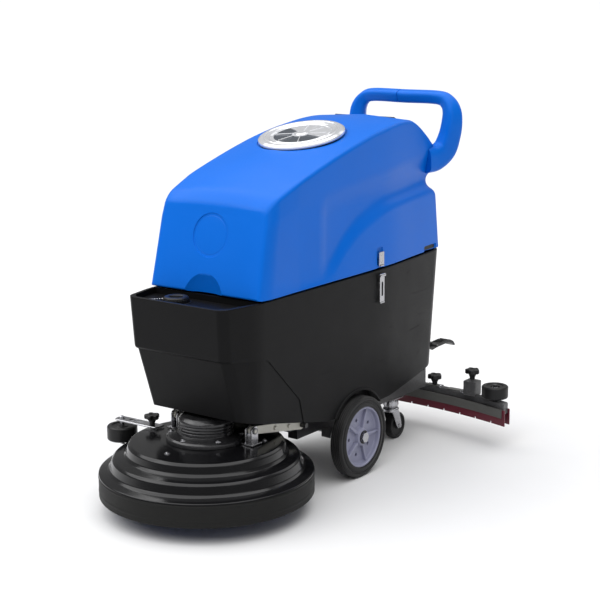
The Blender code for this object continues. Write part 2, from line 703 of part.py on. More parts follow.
def make_casters():
    for side, tag in ((1, "left"), (-1, "right")):
        x, y = side * CASTER.x, CASTER.y
        top = bar(f"{tag}_caster_plate", (x - 0.030, y - 0.030, CASTER_TOP - 0.0045),
                  (x + 0.030, y + 0.030, CASTER_TOP))
        race = turned(f"{tag}_caster_race", [(0.0, 0.1310), (0.019, 0.1310), (0.023, 0.1200),
                                             (0.023, 0.1080), (0.019, 0.1004), (0.0, 0.1004)],
                      (x, y, 0.0), steps=16)
        add_part(weld(top, race), "zinc")
        hub = (x, y + CASTER_TRAIL, CASTER_RADIUS)
        fork = turned(f"{tag}_caster_fork", [(0.0, 0.1000), (0.021, 0.1000), (0.024, 0.0960),
                                             (0.024, 0.0880), (0.0, 0.0880)], (x, y, 0.0), steps=16)
        legs = []
        for cheek in (-1, 1):
            outline = [(y - 0.016, 0.0900), (y + 0.018, 0.0900), (y + 0.033, 0.0440),
                       (y + 0.028, 0.0320), (y + 0.016, 0.0320), (y + 0.006, 0.0440)]
            legs.append(side_plate(f"{tag}_caster_leg_{cheek}", outline, 0.0030,
                                   x + cheek * 0.0165))
        pin = rod(f"{tag}_caster_pin", 0.0045, 0.042, hub, "X", sides=16)
        add_part(weld(fork, *legs, pin), "zinc")
        wheel = turned(f"{tag}_caster_wheel", [(CASTER_RADIUS, 0.009), (CASTER_RADIUS, -0.009),
                                               (0.036, -0.013), (0.0050, -0.013),
                                               (0.0050, 0.013), (0.036, 0.013)], hub, "X",
                       steps=18)
        add_part(wheel, "black_rubber")


def make_batteries():
    low, high = 0.2200, 0.4380
    for index, tag in enumerate(("front", "rear")):
        start = 0.092 + index * 0.1740
        case = bar(f"battery_{tag}", (-0.130, start, low), (0.130, start + 0.1720, high), 0.003)
        posts = [rod(f"post_{tag}_{side}", 0.009, 0.016, (side * 0.100, start + 0.030, high + 0.007),
                     sides=12) for side in (-1, 1)]
        add_part(weld(case, *posts), "grey_plastic")


# ---------------------------------------------------------------- brush deck
def make_deck():
    skirt_top = 0.1030
    skirt = turned("deck_skirt", [(DECK_RADIUS - 0.001, skirt_top), (DECK_RADIUS, skirt_top - 0.003),
                                  (DECK_RADIUS, DECK_LIFT + 0.002), (DECK_RADIUS - 0.002, DECK_LIFT),
                                  (0.272, DECK_LIFT), (0.272, skirt_top)], DECK, steps=36)
    add_part(skirt, "black_rubber")
    outer = [(0.2785, 0.1034), (0.2690, 0.1090), (0.2660, 0.1160), (0.2490, 0.1190),
             (0.2440, 0.1240), (0.2420, 0.1400), (0.2360, 0.1460), (0.2140, 0.1510),
             (0.2070, 0.1560), (0.2030, 0.1750), (0.1960, 0.1820)]
    top = [(0.0200, DECK_PLATE), (0.0200, DECK_PLATE - 0.005)]
    inner = [(0.1905, 0.1775), (0.2005, 0.1510), (0.2350, 0.1370), (0.2390, 0.1130)]
    cover = turned("deck_cover", outer + top + inner + [(0.2640, 0.1034)], DECK, steps=36)
    add_part(cover, "gloss_black")


def make_brush_drive():
    base = DECK_PLATE + GAP
    motor = turned("brush_motor", [(0.0, 0.254), (0.056, 0.254), (0.066, 0.250),
                                   (MOTOR_RADIUS, 0.243), (MOTOR_RADIUS, 0.204),
                                   (0.100, 0.200), (0.104, 0.196), (0.104, base), (0.0160, base),
                                   (0.0160, 0.200), (0.0, 0.200)], DECK, steps=24)
    add_part(motor, "motor_metal")
    disc = turned("brush_disc", [(0.0, 0.196), (0.012, 0.196), (0.012, 0.108), (0.032, 0.104),
                                 (0.036, 0.0930), (0.246, 0.0930), (0.250, 0.0890),
                                 (0.250, 0.0780), (0.0, 0.0780)], DECK, steps=24)
    add_part(disc, "grey_plastic")
    bristles = turned("brush_bristles", [(0.2480, 0.0776), (BRUSH_RADIUS, 0.0470),
                                         (0.1050, 0.0470), (0.1100, 0.0776)], DECK, steps=24)
    add_part(bristles, "bristle")


def make_lift_arms():
    run, rise = ARM_PIN.y - ARM_PIVOT.y, ARM_PIN.z - ARM_PIVOT.z
    length = hypot(run, rise)
    turn = atan2(rise, run)
    shape = arc((0.0, 0.0), 0.0130, 90, 270, 5) + arc((length, 0.0), 0.0105, -90, 90, 5)
    outline = [(ARM_PIVOT.y + u * cos(turn) - v * sin(turn),
                ARM_PIVOT.z + u * sin(turn) + v * cos(turn)) for u, v in shape]
    cross = rod("lift_arms", 0.0080, 0.2560, ARM_PIVOT.lerp(ARM_PIN, 0.27), "X", sides=16)
    pieces, bores = [], []
    for side in (-1, 1):
        pieces.append(side_plate(f"arm_{side}", outline, 0.0060, side * ARM_X))
        pieces.append(rod(f"arm_pin_{side}", 0.0050, 0.0300, ARM_PIN + Vector((side * ARM_X, 0, 0)),
                          "X", sides=16))
        bores.append(rod(f"arm_bore_{side}", 0.0074, 0.02, ARM_PIVOT + Vector((side * ARM_X, 0, 0)),
                         "X", sides=16))
    add_part(cut(weld(cross, *pieces), *bores), "cream_paint")
    base = DECK_PLATE + GAP
    for side, tag in ((1, "left"), (-1, "right")):
        x = side * ARM_X
        clevis = bar(f"clevis_{tag}", (x - 0.019, ARM_PIN.y - 0.020, base),
                     (x + 0.019, ARM_PIN.y + 0.020, base + 0.004))
        cheeks = [bar(f"cheek_{tag}_{cheek}", (x + cheek * 0.0095 - 0.002, ARM_PIN.y - 0.013, base),
                      (x + cheek * 0.0095 + 0.002, ARM_PIN.y + 0.013, ARM_PIN.z + 0.011))
                  for cheek in (-1, 1)]
        bore = rod(f"clevis_bore_{tag}", 0.0055, 0.06, ARM_PIN + Vector((x, 0, 0)), "X", sides=16)
        add_part(cut(weld(clevis, *cheeks), bore), "zinc")


def make_bumper():
    base = DECK_PLATE + GAP
    reach = ROLLER - DECK
    turn = atan2(reach.y, reach.x)
    arm = block("bumper_arm", (0.150, 0.034, 0.0045),
                (ROLLER.x - 0.060 * cos(turn), ROLLER.y - 0.060 * sin(turn), base + 0.00225),
                turn=(0, 0, turn))
    pin = rod("bumper_pin", 0.0060, 0.0760, (ROLLER.x, ROLLER.y, base - 0.0300), sides=16)
    add_part(weld(arm, pin), "dark_paint")
    roller = turned("bumper_roller", [(0.038, 0.0200), (0.041, 0.0170), (0.041, -0.0170),
                                      (0.038, -0.0200), (0.0064, -0.0200), (0.0064, 0.0200)],
                    ROLLER, steps=16)
    add_part(roller, "black_plastic")
    knob = turned("bumper_knob", [(0.0, 0.030), (0.018, 0.030), (0.021, 0.027), (0.021, 0.019),
                                  (0.015, 0.015), (0.007, 0.012), (0.007, 0.0), (0.0, 0.0)],
                  (-0.184, ROLLER.y + 0.002, base + 0.0045 + GAP), steps=12)
    add_part(knob, "black_plastic")


# ---------------------------------------------------------------- squeegee
BOW_CENTRE = BLADE_BACK - BLADE_RADIUS


def bow_point(x, radius):
    return Vector((x, BOW_CENTRE + (radius ** 2 - x ** 2) ** 0.5, 0.0))


def bow(name, inner, outer, low, high, half=BLADE_HALF, count=13):
    """A strip that follows the squeegee's bow, between two plan radii and two heights."""
    places = [half * (2 * index / (count - 1) - 1) for index in range(count)]
    outline = [bow_point(x, outer).xy for x in places]
    outline += [bow_point(x, inner).xy for x in reversed(places)]
    return plate(name, outline, high - low, Matrix.Translation((0, 0, (low + high) / 2)))


def make_squeegee():
    outline = [(0.240, 0.112), (0.262, 0.112), (0.288, 0.1362), (0.550, 0.1362), (0.550, 0.1440),
               (0.277, 0.1440), (0.240, 0.137)]
    arm = side_plate("squeegee_arm", outline, 0.0440, 0.0)
    cross = rod("squeegee_cross", 0.0060, 0.0840, SQUEEGEE_PIVOT, "X", sides=16)
    stud = rod("swivel_stud", 0.0060, 0.0300, (SWIVEL.x, SWIVEL.y, 0.1270), sides=16)
    add_part(weld(arm, cross, stud), "dark_paint")

    inner = BLADE_RADIUS - 0.0280
    outer = BLADE_RADIUS - 0.0040
    beam = bow("squeegee_beam", inner, outer, 0.0930, BEAM_TOP, BLADE_HALF - 0.006)
    pieces = [bar("swivel_plate", (-0.036, 0.5160, BEAM_TOP - 0.004), (0.036, 0.5600, BEAM_TOP + 0.0045))]
    for side in (-1, 1):
        box = bow_point(side * OUTER_KNOB, (inner + outer) / 2)
        pieces += [
            bar(f"roller_bracket_{side}", (box.x - 0.021, box.y - 0.019, BEAM_TOP - 0.003),
                (box.x + 0.021, box.y + 0.019, BRACKET_TOP)),
            rod(f"roller_stud_{side}", 0.0060, 0.0500,
                (side * END_ROLLER.x, END_ROLLER.y, 0.1490), sides=16),
        ]
    swivel_bore = rod("swivel_bore", 0.0064, 0.05, (SWIVEL.x, SWIVEL.y, 0.1270), sides=16)
    add_part(cut(weld(beam, *pieces), swivel_bore), "dark_paint")

    add_part(bow("rear_blade", outer + GAP, BLADE_RADIUS - 0.0004, BLADE_FOOT, 0.1080),
             "maroon_rubber")
    add_part(bow("rear_clamp", BLADE_RADIUS, BLADE_RADIUS + 0.0020, 0.0860, 0.1040,
                 BLADE_HALF - 0.010), "zinc")
    add_part(bow("front_blade", inner - 0.0040, inner - GAP, BLADE_FOOT, 0.1080), "maroon_rubber")
    add_part(bow("front_clamp", inner - 0.0064, inner - 0.0044, 0.0830, 0.1100,
                 BLADE_HALF - 0.010), "grey_plastic")

    spigot = turned("suction_spigot", [(0.0150, 0.046), (0.0175, 0.043), (0.0175, 0.004),
                                       (0.0200, 0.003), (0.0200, 0.0), (0.0130, 0.0),
                                       (0.0130, 0.046)],
                    (0.0, 0.5806, BEAM_TOP + GAP), steps=20)
    add_part(spigot, "black_plastic")

    for side, tag in ((1, "left"), (-1, "right")):
        for place, where, seat in (("inner", INNER_KNOB, BEAM_TOP), ("outer", OUTER_KNOB, BRACKET_TOP)):
            spot = bow_point(side * where, (inner + outer) / 2)
            knob = turned(f"{place}_knob_{tag}", [(0.0, 0.036), (0.0180, 0.036), (0.0220, 0.032),
                                                  (0.0220, 0.022), (0.0140, 0.016), (0.0080, 0.012),
                                                  (0.0080, 0.0), (0.0, 0.0)],
                          (spot.x, spot.y, seat + GAP), steps=12)
            add_part(knob, "black_plastic")
        roller = turned(f"end_roller_{tag}", [(0.036, 0.018), (0.039, 0.015), (0.039, -0.015),
                                              (0.036, -0.018), (0.0064, -0.018),
                                              (0.0064, 0.018)],
                        (side * END_ROLLER.x, END_ROLLER.y, END_ROLLER.z), steps=16)
        add_part(roller, "black_plastic")


# ---------------------------------------------------------------- rear controls
def make_rear_controls():
    barrel = rod("deck_pedal", 0.0095, 0.0340, (0.096, LEVER_PIN.y, LEVER_PIN.z), "X", sides=16)
    outline = [(0.540, 0.254), (0.580, 0.250), (0.620, 0.252), (0.650, 0.247), (REAR, 0.234),
               (REAR, 0.239), (0.652, 0.254), (0.620, 0.2595), (0.580, 0.2580), (0.540, 0.263)]
    paddle = side_plate("pedal_paddle", outline, 0.0320, 0.096)
    bore = rod("pedal_bore", 0.0054, 0.06, (0.096, LEVER_PIN.y, LEVER_PIN.z), "X", sides=16)
    add_part(cut(weld(barrel, paddle), bore), "black_plastic")

    route = [Vector((-0.096, y, z)) for y, z in ((0.5420, 0.262), (0.5560, 0.300), (0.5580, 0.400),
                                                 (0.5600, 0.480))]
    lever = rod("squeegee_lever", 0.0095, 0.0340, (-0.096, LEVER_PIN.y, LEVER_PIN.z), "X", sides=16)
    stalk = tube("lever_stalk", route, 0.0050)
    grip = turned("lever_grip", [(0.0, 0.022), (0.010, 0.020), (0.014, 0.010), (0.014, -0.006),
                                 (0.009, -0.020), (0.0, -0.022)], (-0.096, 0.5600, 0.498), steps=12)
    lever_bore = rod("lever_bore", 0.0054, 0.06, (-0.096, LEVER_PIN.y, LEVER_PIN.z), "X", sides=16)
    add_part(cut(weld(lever, stalk, grip), lever_bore), "black_plastic")


# ---------------------------------------------------------------- assembly
def build():
    make_solution_tank()
    make_filler()
    make_recovery_tank()
    make_handle()
    make_lid()
    make_float()
    make_vacuum_motor()
    make_console()
    make_latches()
    make_tank_hinge()
    make_frame()
    make_axle()
    make_wheels()
    make_casters()
    make_batteries()
    make_deck()
    make_brush_drive()
    make_lift_arms()
    make_bumper()
    make_squeegee()
    make_rear_controls()


clear_scene()
PARTS = collection(OBJECT_NAME)
CUTTERS = collection("cutters")
MATERIALS = {name: material(name, *finish) for name, finish in FINISHES.items()}
build()
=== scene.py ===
"""Looks of a walk-behind floor scrubber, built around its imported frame.

Metres, +Z up.  -Y is the front (brush deck), +Y the rear (handle and squeegee), +X the left side.
Laid out as an add-on: each group of pieces is one operator, listed in a sidebar panel.
"""

from math import atan2, cos, hypot, pi, radians, sin

import bmesh
import bpy
from mathutils import Euler, Matrix, Vector


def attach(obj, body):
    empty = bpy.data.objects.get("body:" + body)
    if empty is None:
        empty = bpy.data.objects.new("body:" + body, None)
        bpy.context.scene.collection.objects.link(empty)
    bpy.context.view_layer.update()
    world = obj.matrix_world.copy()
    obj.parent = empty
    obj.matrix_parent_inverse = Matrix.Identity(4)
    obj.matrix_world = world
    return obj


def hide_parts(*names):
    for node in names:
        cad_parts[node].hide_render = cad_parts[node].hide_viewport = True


bl_info = {
    "name": "Floor Scrubber",
    "version": (1, 0, 0),
    "blender": (4, 5, 0),
    "location": "View3D > Sidebar > Scrubber",
    "description": "Builds the visible pieces and finishes of a walk-behind floor scrubber",
    "category": "Object",
}

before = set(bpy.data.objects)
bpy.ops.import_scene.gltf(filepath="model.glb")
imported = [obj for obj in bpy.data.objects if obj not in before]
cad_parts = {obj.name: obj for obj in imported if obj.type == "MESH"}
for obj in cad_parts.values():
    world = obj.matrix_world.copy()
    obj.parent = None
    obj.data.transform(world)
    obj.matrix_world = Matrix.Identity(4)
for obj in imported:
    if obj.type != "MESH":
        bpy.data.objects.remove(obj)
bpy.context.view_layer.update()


# ---------------------------------------------------------------- user settings
def colour_setting(name, description, value):
    return bpy.props.FloatVectorProperty(name=name, description=description, default=value,
                                         size=3, min=0.0, max=1.0, subtype="COLOR")


def length_setting(name, description, value):
    return bpy.props.FloatProperty(name=name, description=description, default=value,
                                   min=0.0, unit="LENGTH")


def angle_setting(name, description, degrees):
    return bpy.props.FloatProperty(name=name, description=description, default=radians(degrees),
                                   subtype="ANGLE")


class ScrubberColours(bpy.types.PropertyGroup):
    """Base colours of the machine's finishes"""
    blue: colour_setting("Blue", "Recovery tank and handle", (0.0004, 0.118, 0.560))
    black: colour_setting("Black", "Solution tank", (0.0045, 0.0045, 0.0050))
    deck: colour_setting("Deck", "Glossy deck cover", (0.0035, 0.0035, 0.0042))
    rubber: colour_setting("Rubber", "Tyres, skirt and rollers", (0.0080, 0.0080, 0.0084))
    maroon: colour_setting("Maroon", "Squeegee blades", (0.110, 0.008, 0.020))
    rim: colour_setting("Rim", "Wheel rims", (0.230, 0.235, 0.330))
    silver: colour_setting("Lid", "Lid plate", (0.760, 0.770, 0.800))
    zinc: colour_setting("Zinc", "Plated brackets and bolts", (0.430, 0.430, 0.450))
    cream: colour_setting("Cream", "Powder coat of the lift arms", (0.640, 0.625, 0.560))


class ScrubberSizes(bpy.types.PropertyGroup):
    """Sizes of the visible shells"""
    wall: length_setting("Wall", "Wall thickness of both tanks", 0.005)
    edge: length_setting("Edge", "Rounding of the recovery tank's long edges", 0.012)
    emblem: length_setting("Emblem", "Radius of the blank round recess in the front", 0.056)
    bead: length_setting("Bead", "Diameter of the chain's beads", 0.0042)
    tread: length_setting("Tread", "Depth of the groove beside the tyre's tread", 0.0016)


class ScrubberStage(bpy.types.PropertyGroup):
    """Where the camera stands"""
    azimuth: angle_setting("Azimuth", "Camera's turn from the front towards the left side", 36.566)
    elevation: angle_setting("Elevation", "Camera's height angle", 12.384)
    roll: angle_setting("Roll", "Camera's roll", -0.320)
    distance: length_setting("Distance", "Camera's distance from its target", 3.9333)
    target: bpy.props.FloatVectorProperty(name="Target", description="Point the camera looks at",
                                          default=(0.0587, -0.0625, 0.4880), size=3,
                                          subtype="TRANSLATION", unit="LENGTH")
    lens: bpy.props.FloatProperty(name="Lens", description="Focal length on a 36 mm sensor, in mm",
                                  default=87.68, min=1.0)
    shift: bpy.props.FloatProperty(name="Shift", description="Upward shift of the view",
                                   default=0.00723)


# ---------------------------------------------------------------- shader groups
def shader_group(name, inputs, outputs):
    """An empty node group with named sockets, and its input and output nodes."""
    tree = bpy.data.node_groups.new(name, "ShaderNodeTree")
    for label, kind, value in inputs:
        socket = tree.interface.new_socket(label, in_out="INPUT", socket_type=kind)
        socket.default_value = value
    for label, kind in outputs:
        tree.interface.new_socket(label, in_out="OUTPUT", socket_type=kind)
    return tree, tree.nodes.new("NodeGroupInput"), tree.nodes.new("NodeGroupOutput")


def math_node(tree, operation, first, second=None, clamp=False):
    node = tree.nodes.new("ShaderNodeMath")
    node.operation = operation
    node.use_clamp = clamp
    for socket, value in zip(node.inputs, (first, second)):
        if isinstance(value, bpy.types.NodeSocket):
            tree.links.new(value, socket)
        elif value is not None:
            socket.default_value = value
    return node.outputs[0]


def noise_node(tree, scale, detail=3.0, stretch=(1.0, 1.0, 1.0)):
    """Noise in the piece's own coordinates; scale is a number or a socket."""
    place = tree.nodes.new("ShaderNodeTexCoord")
    mapping = tree.nodes.new("ShaderNodeMapping")
    mapping.inputs["Scale"].default_value = stretch
    noise = tree.nodes.new("ShaderNodeTexNoise")
    noise.inputs["Detail"].default_value = detail
    tree.links.new(place.outputs["Object"], mapping.inputs["Vector"])
    tree.links.new(mapping.outputs[0], noise.inputs["Vector"])
    if isinstance(scale, bpy.types.NodeSocket):
        tree.links.new(scale, noise.inputs["Scale"])
    else:
        noise.inputs["Scale"].default_value = scale
    return noise.outputs["Fac"]


def moulded_grain():
    """Fine bumps of a mould's texture, with a slower waviness under them."""
    tree, given, made = shader_group("moulded_grain", [("Scale", "NodeSocketFloat", 900.0),
                                                       ("Waves", "NodeSocketFloat", 0.5)],
                                     [("Height", "NodeSocketFloat")])
    fine = noise_node(tree, given.outputs["Scale"], 2.0)
    slow = math_node(tree, "MULTIPLY", noise_node(tree, 22.0, 1.0), given.outputs["Waves"])
    tree.links.new(math_node(tree, "ADD", fine, slow), made.inputs["Height"])
    return tree


def colour_drift():
    """Slow lightening and darkening of a colour over a surface."""
    tree, given, made = shader_group("colour_drift",
                                     [("Colour", "NodeSocketColor", (0.5, 0.5, 0.5, 1.0)),
                                      ("Amount", "NodeSocketFloat", 0.1)],
                                     [("Colour", "NodeSocketColor")])
    noise = math_node(tree, "SUBTRACT", noise_node(tree, 7.0, 4.0), 0.5)
    value = math_node(tree, "ADD", math_node(tree, "MULTIPLY", noise, given.outputs["Amount"]), 1.0)
    shade = tree.nodes.new("ShaderNodeHueSaturation")
    tree.links.new(given.outputs["Colour"], shade.inputs["Color"])
    tree.links.new(value, shade.inputs["Value"])
    tree.links.new(shade.outputs[0], made.inputs["Colour"])
    return tree


def settled_dust():
    """Dust that gathers in patches on faces turned upwards."""
    tree, given, made = shader_group("settled_dust", [("Amount", "NodeSocketFloat", 0.2)],
                                     [("Mask", "NodeSocketFloat")])
    geometry = tree.nodes.new("ShaderNodeNewGeometry")
    split = tree.nodes.new("ShaderNodeSeparateXYZ")
    tree.links.new(geometry.outputs["Normal"], split.inputs[0])
    upward = math_node(tree, "MULTIPLY", split.outputs["Z"], 0.8, clamp=True)
    patches = math_node(tree, "MULTIPLY", noise_node(tree, 60.0, 6.0), noise_node(tree, 9.0, 2.0))
    mask = math_node(tree, "MULTIPLY", upward, patches)
    tree.links.new(math_node(tree, "MULTIPLY", mask, given.outputs["Amount"], clamp=True),
                   made.inputs["Mask"])
    return tree


def fine_scratches():
    """Thin scuffs that run along the machine."""
    tree, given, made = shader_group("fine_scratches", [("Amount", "NodeSocketFloat", 0.2)],
                                     [("Mask", "NodeSocketFloat")])
    lines = noise_node(tree, 90.0, 2.0, (1.0, 0.05, 1.3))
    sparse = math_node(tree, "SUBTRACT", lines, 0.66)
    sharp = math_node(tree, "MULTIPLY", sparse, 9.0, clamp=True)
    tree.links.new(math_node(tree, "MULTIPLY", sharp, given.outputs["Amount"]),
                   made.inputs["Mask"])
    return tree


def worn_edges():
    """Outer edges, broken up by noise."""
    tree, given, made = shader_group("worn_edges", [("Amount", "NodeSocketFloat", 0.5)],
                                     [("Mask", "NodeSocketFloat")])
    geometry = tree.nodes.new("ShaderNodeNewGeometry")
    edge = math_node(tree, "SUBTRACT", geometry.outputs["Pointiness"], 0.53)
    edge = math_node(tree, "MULTIPLY", edge, 14.0, clamp=True)
    broken = math_node(tree, "MULTIPLY", edge, noise_node(tree, 140.0, 4.0))
    tree.links.new(math_node(tree, "MULTIPLY", broken, given.outputs["Amount"], clamp=True),
                   made.inputs["Mask"])
    return tree


GROUP_MAKERS = (moulded_grain, colour_drift, settled_dust, fine_scratches, worn_edges)
SHADER_GROUPS = {}


def group_node(tree, name, **values):
    """One placed shader group with its own values."""
    node = tree.nodes.new("ShaderNodeGroup")
    node.node_tree = SHADER_GROUPS[name]
    for label, value in values.items():
        node.inputs[label].default_value = value
    return node


# ---------------------------------------------------------------- finishes
FINISHES = {}


def finish(name, colour, roughness, metallic=0.0, grain=900.0, relief=0.0002, waves=0.5,
           drift=0.12, dust=0.10, scratches=0.12, wear=0.0, bare=(0.3, 0.3, 0.3), coat=0.0,
           coat_roughness=0.08, specular=0.5):
    """A procedural finish: drifting colour, dust, scuffs, worn edges and a grained surface."""
    made = bpy.data.materials.new(name)
    made.use_nodes = True
    tree = made.node_tree
    shader = tree.nodes["Principled BSDF"]
    shader.inputs["Metallic"].default_value = metallic
    shader.inputs["Specular IOR Level"].default_value = specular
    shader.inputs["Coat Weight"].default_value = coat
    shader.inputs["Coat Roughness"].default_value = coat_roughness
    body = group_node(tree, "colour_drift", Colour=(*colour, 1.0), Amount=drift).outputs["Colour"]
    for mask, over in ((group_node(tree, "worn_edges", Amount=wear), bare),
                       (group_node(tree, "settled_dust", Amount=dust), (0.42, 0.41, 0.39))):
        mix = tree.nodes.new("ShaderNodeMix")
        mix.data_type = "RGBA"
        tree.links.new(mask.outputs["Mask"], mix.inputs["Factor"])
        tree.links.new(body, mix.inputs["A"])
        mix.inputs["B"].default_value = (*over, 1.0)
        body = mix.outputs["Result"]
    tree.links.new(body, shader.inputs["Base Color"])
    scuffs = group_node(tree, "fine_scratches", Amount=scratches).outputs["Mask"]
    smear = math_node(tree, "MULTIPLY", noise_node(tree, 14.0, 5.0), roughness * 0.35)
    rough = math_node(tree, "ADD", math_node(tree, "ADD", smear, roughness * 0.82), scuffs,
                      clamp=True)
    tree.links.new(rough, shader.inputs["Roughness"])
    height = group_node(tree, "moulded_grain", Scale=grain, Waves=waves).outputs["Height"]
    bump = tree.nodes.new("ShaderNodeBump")
    bump.inputs["Distance"].default_value = relief
    bump.inputs["Strength"].default_value = 0.6
    tree.links.new(height, bump.inputs["Height"])
    tree.links.new(bump.outputs[0], shader.inputs["Normal"])
    FINISHES[name] = made
    return made


def make_finishes():
    """Every finish of the machine, from the colour settings."""
    for maker in GROUP_MAKERS:
        SHADER_GROUPS[maker.__name__] = maker()
    tint = bpy.context.scene.scrubber_colours
    finish("tank_blue", tint.blue, 0.34, relief=0.00016, grain=1100.0, drift=0.10, dust=0.0,
           specular=0.12)
    finish("tank_black", tint.black, 0.42, relief=0.0003, grain=1400.0, drift=0.35, dust=0.006,
           scratches=0.16, specular=0.10)
    finish("deck_gloss", tint.deck, 0.17, relief=0.00008, grain=500.0, dust=0.006, coat=0.06,
           scratches=0.10, specular=0.30)
    finish("tyre_rubber", tint.rubber, 0.36, relief=0.0002, grain=700.0, dust=0.05, specular=0.25)
    finish("skirt_rubber", (0.0100, 0.0100, 0.0097), 0.55, relief=0.0003, grain=800.0, dust=0.02,
           scratches=0.25, specular=0.15)
    finish("moulded_black", tint.black, 0.36, relief=0.0003, grain=1200.0, dust=0.04,
           specular=0.3)
    finish("maroon_rubber", tint.maroon, 0.38, relief=0.0002, grain=420.0, drift=0.2, dust=0.15)
    finish("rim_plastic", tint.rim, 0.40, relief=0.0003, grain=800.0, drift=0.18, dust=0.15)
    finish("lid_silver", tint.silver, 0.14, metallic=0.55, relief=0.00006, grain=300.0,
           dust=0.08, coat=0.4)
    finish("lid_window", (0.020, 0.030, 0.045), 0.10, relief=0.00006, grain=300.0, dust=0.05,
           coat=0.6)
    finish("zinc_plate", tint.zinc, 0.26, metallic=1.0, relief=0.0002, grain=600.0, drift=0.3,
           scratches=0.3, wear=0.2, bare=(0.75, 0.75, 0.76))
    finish("dark_steel", (0.060, 0.060, 0.064), 0.34, metallic=0.7, relief=0.0002, grain=500.0,
           wear=0.5, bare=(0.4, 0.4, 0.4))
    finish("cream_coat", tint.cream, 0.40, relief=0.0004, grain=260.0, wear=0.5,
           bare=(0.35, 0.34, 0.32), scratches=0.25)
    finish("dark_coat", (0.022, 0.022, 0.024), 0.38, relief=0.0004, grain=260.0, wear=0.5,
           bare=(0.25, 0.25, 0.25), scratches=0.25)
    finish("grey_strip", (0.085, 0.085, 0.080), 0.45, relief=0.0003, grain=700.0, drift=0.3,
           scratches=0.3)
    finish("grey_plastic", (0.230, 0.235, 0.240), 0.45, relief=0.0003, grain=900.0)
    finish("motor_lacquer", (0.013, 0.013, 0.015), 0.24, metallic=0.3, relief=0.0002,
           grain=300.0, coat=0.3)
    finish("nylon_bristle", (0.090, 0.130, 0.300), 0.55, relief=0.0004, grain=1500.0, drift=0.5)
    finish("signal_red", (0.560, 0.012, 0.012), 0.30, relief=0.0001, grain=500.0)
    finish("gauge_green", (0.020, 0.300, 0.060), 0.22, relief=0.0001, grain=500.0)


# ---------------------------------------------------------------- shapes
AXIS_TURN = {
    "X": Matrix.Rotation(pi / 2, 4, "Y"),
    "Y": Matrix.Rotation(pi / 2, 4, "X"),
    "Z": Matrix.Identity(4),
}
SIDE_VIEW = Matrix(((0, 0, 1, 0), (1, 0, 0, 0), (0, 1, 0, 0), (0, 0, 0, 1)))


def mesh_object(name, bm):
    bmesh.ops.recalc_face_normals(bm, faces=bm.faces)
    data = bpy.data.meshes.new(name)
    bm.to_mesh(data)
    bm.free()
    made = bpy.data.objects.new(name, data)
    bpy.context.scene.collection.objects.link(made)
    return made


def baked(obj):
    """The same object with its modifiers and its placement worked into a welded mesh."""
    bpy.context.view_layer.update()
    graph = bpy.context.evaluated_depsgraph_get()
    data = bpy.data.meshes.new_from_object(obj.evaluated_get(graph), depsgraph=graph)
    data.transform(obj.matrix_world)
    name = obj.name
    bpy.data.objects.remove(obj, do_unlink=True)
    bm = bmesh.new()
    bm.from_mesh(data)
    bpy.data.meshes.remove(data)
    bmesh.ops.remove_doubles(bm, verts=bm.verts, dist=0.00001)
    bmesh.ops.holes_fill(bm, edges=[edge for edge in bm.edges if edge.is_boundary], sides=3)
    return mesh_object(name, bm)


def bevel_edges(bm, width, segments, keep=None):
    edges = [edge for edge in bm.edges if keep is None or keep(edge)]
    bmesh.ops.bevel(bm, geom=edges, offset=width, segments=segments, affect="EDGES",
                    profile=0.5, clamp_overlap=True)


def block(name, size, centre, bevel=0.001, turn=(0.0, 0.0, 0.0), segments=2):
    """A box with rounded edges."""
    bm = bmesh.new()
    bmesh.ops.create_cube(bm, size=1.0)
    bmesh.ops.scale(bm, vec=Vector(size), verts=bm.verts)
    if bevel:
        bevel_edges(bm, bevel, segments)
    place = Matrix.Translation(Vector(centre)) @ Euler(turn).to_matrix().to_4x4()
    bmesh.ops.transform(bm, matrix=place, verts=bm.verts)
    return mesh_object(name, bm)


def bar(name, corner, opposite, bevel=0.001):
    """A rounded box given by its two far corners."""
    size = [b - a for a, b in zip(corner, opposite)]
    return block(name, size, [(a + b) / 2 for a, b in zip(corner, opposite)], bevel)


def turned(name, profile, centre=(0, 0, 0), axis="Z", steps=64, turn=None):
    """A lathe shape from (radius, height) points down its outer side; a bored one is a loop."""
    bm = bmesh.new()
    verts = [bm.verts.new((radius, 0.0, height)) for radius, height in profile]
    bored = profile[0][0] > 0 and profile[-1][0] > 0
    edges = [bm.edges.new(pair) for pair in zip(verts, verts[1:] + (verts[:1] if bored else []))]
    bmesh.ops.spin(bm, geom=verts + edges, cent=(0, 0, 0), axis=(0, 0, 1), angle=2 * pi,
                   steps=steps, use_merge=True)
    bmesh.ops.remove_doubles(bm, verts=bm.verts, dist=0.00002)
    spin = AXIS_TURN[axis] if turn is None else Euler(turn).to_matrix().to_4x4()
    bmesh.ops.transform(bm, matrix=Matrix.Translation(Vector(centre)) @ spin, verts=bm.verts)
    return mesh_object(name, bm)


def rod(name, radius, length, centre, axis="Z", sides=32, bevel=0.0005, turn=None):
    """A cylinder with chamfered rims, about an axis through its centre."""
    half = length / 2
    profile = [(0.0, half), (radius - bevel, half), (radius, half - bevel),
               (radius, bevel - half), (radius - bevel, -half), (0.0, -half)]
    return turned(name, profile, centre, axis, sides, turn)


def rounded(points, radii, steps=4):
    """A line whose corners are replaced by arcs; radii holds one value per point."""
    points = [Vector(point) for point in points]
    made = [points[0]]
    for before, point, after, radius in zip(points, points[1:], points[2:], radii[1:]):
        if not radius:
            made.append(point)
            continue
        back, ahead = before - point, after - point
        start = point + back.normalized() * min(radius, back.length * 0.45)
        end = point + ahead.normalized() * min(radius, ahead.length * 0.45)
        for index in range(steps + 1):
            share = index / steps
            made.append(start.lerp(point, share).lerp(point.lerp(end, share), share))
    return made + [points[-1]]


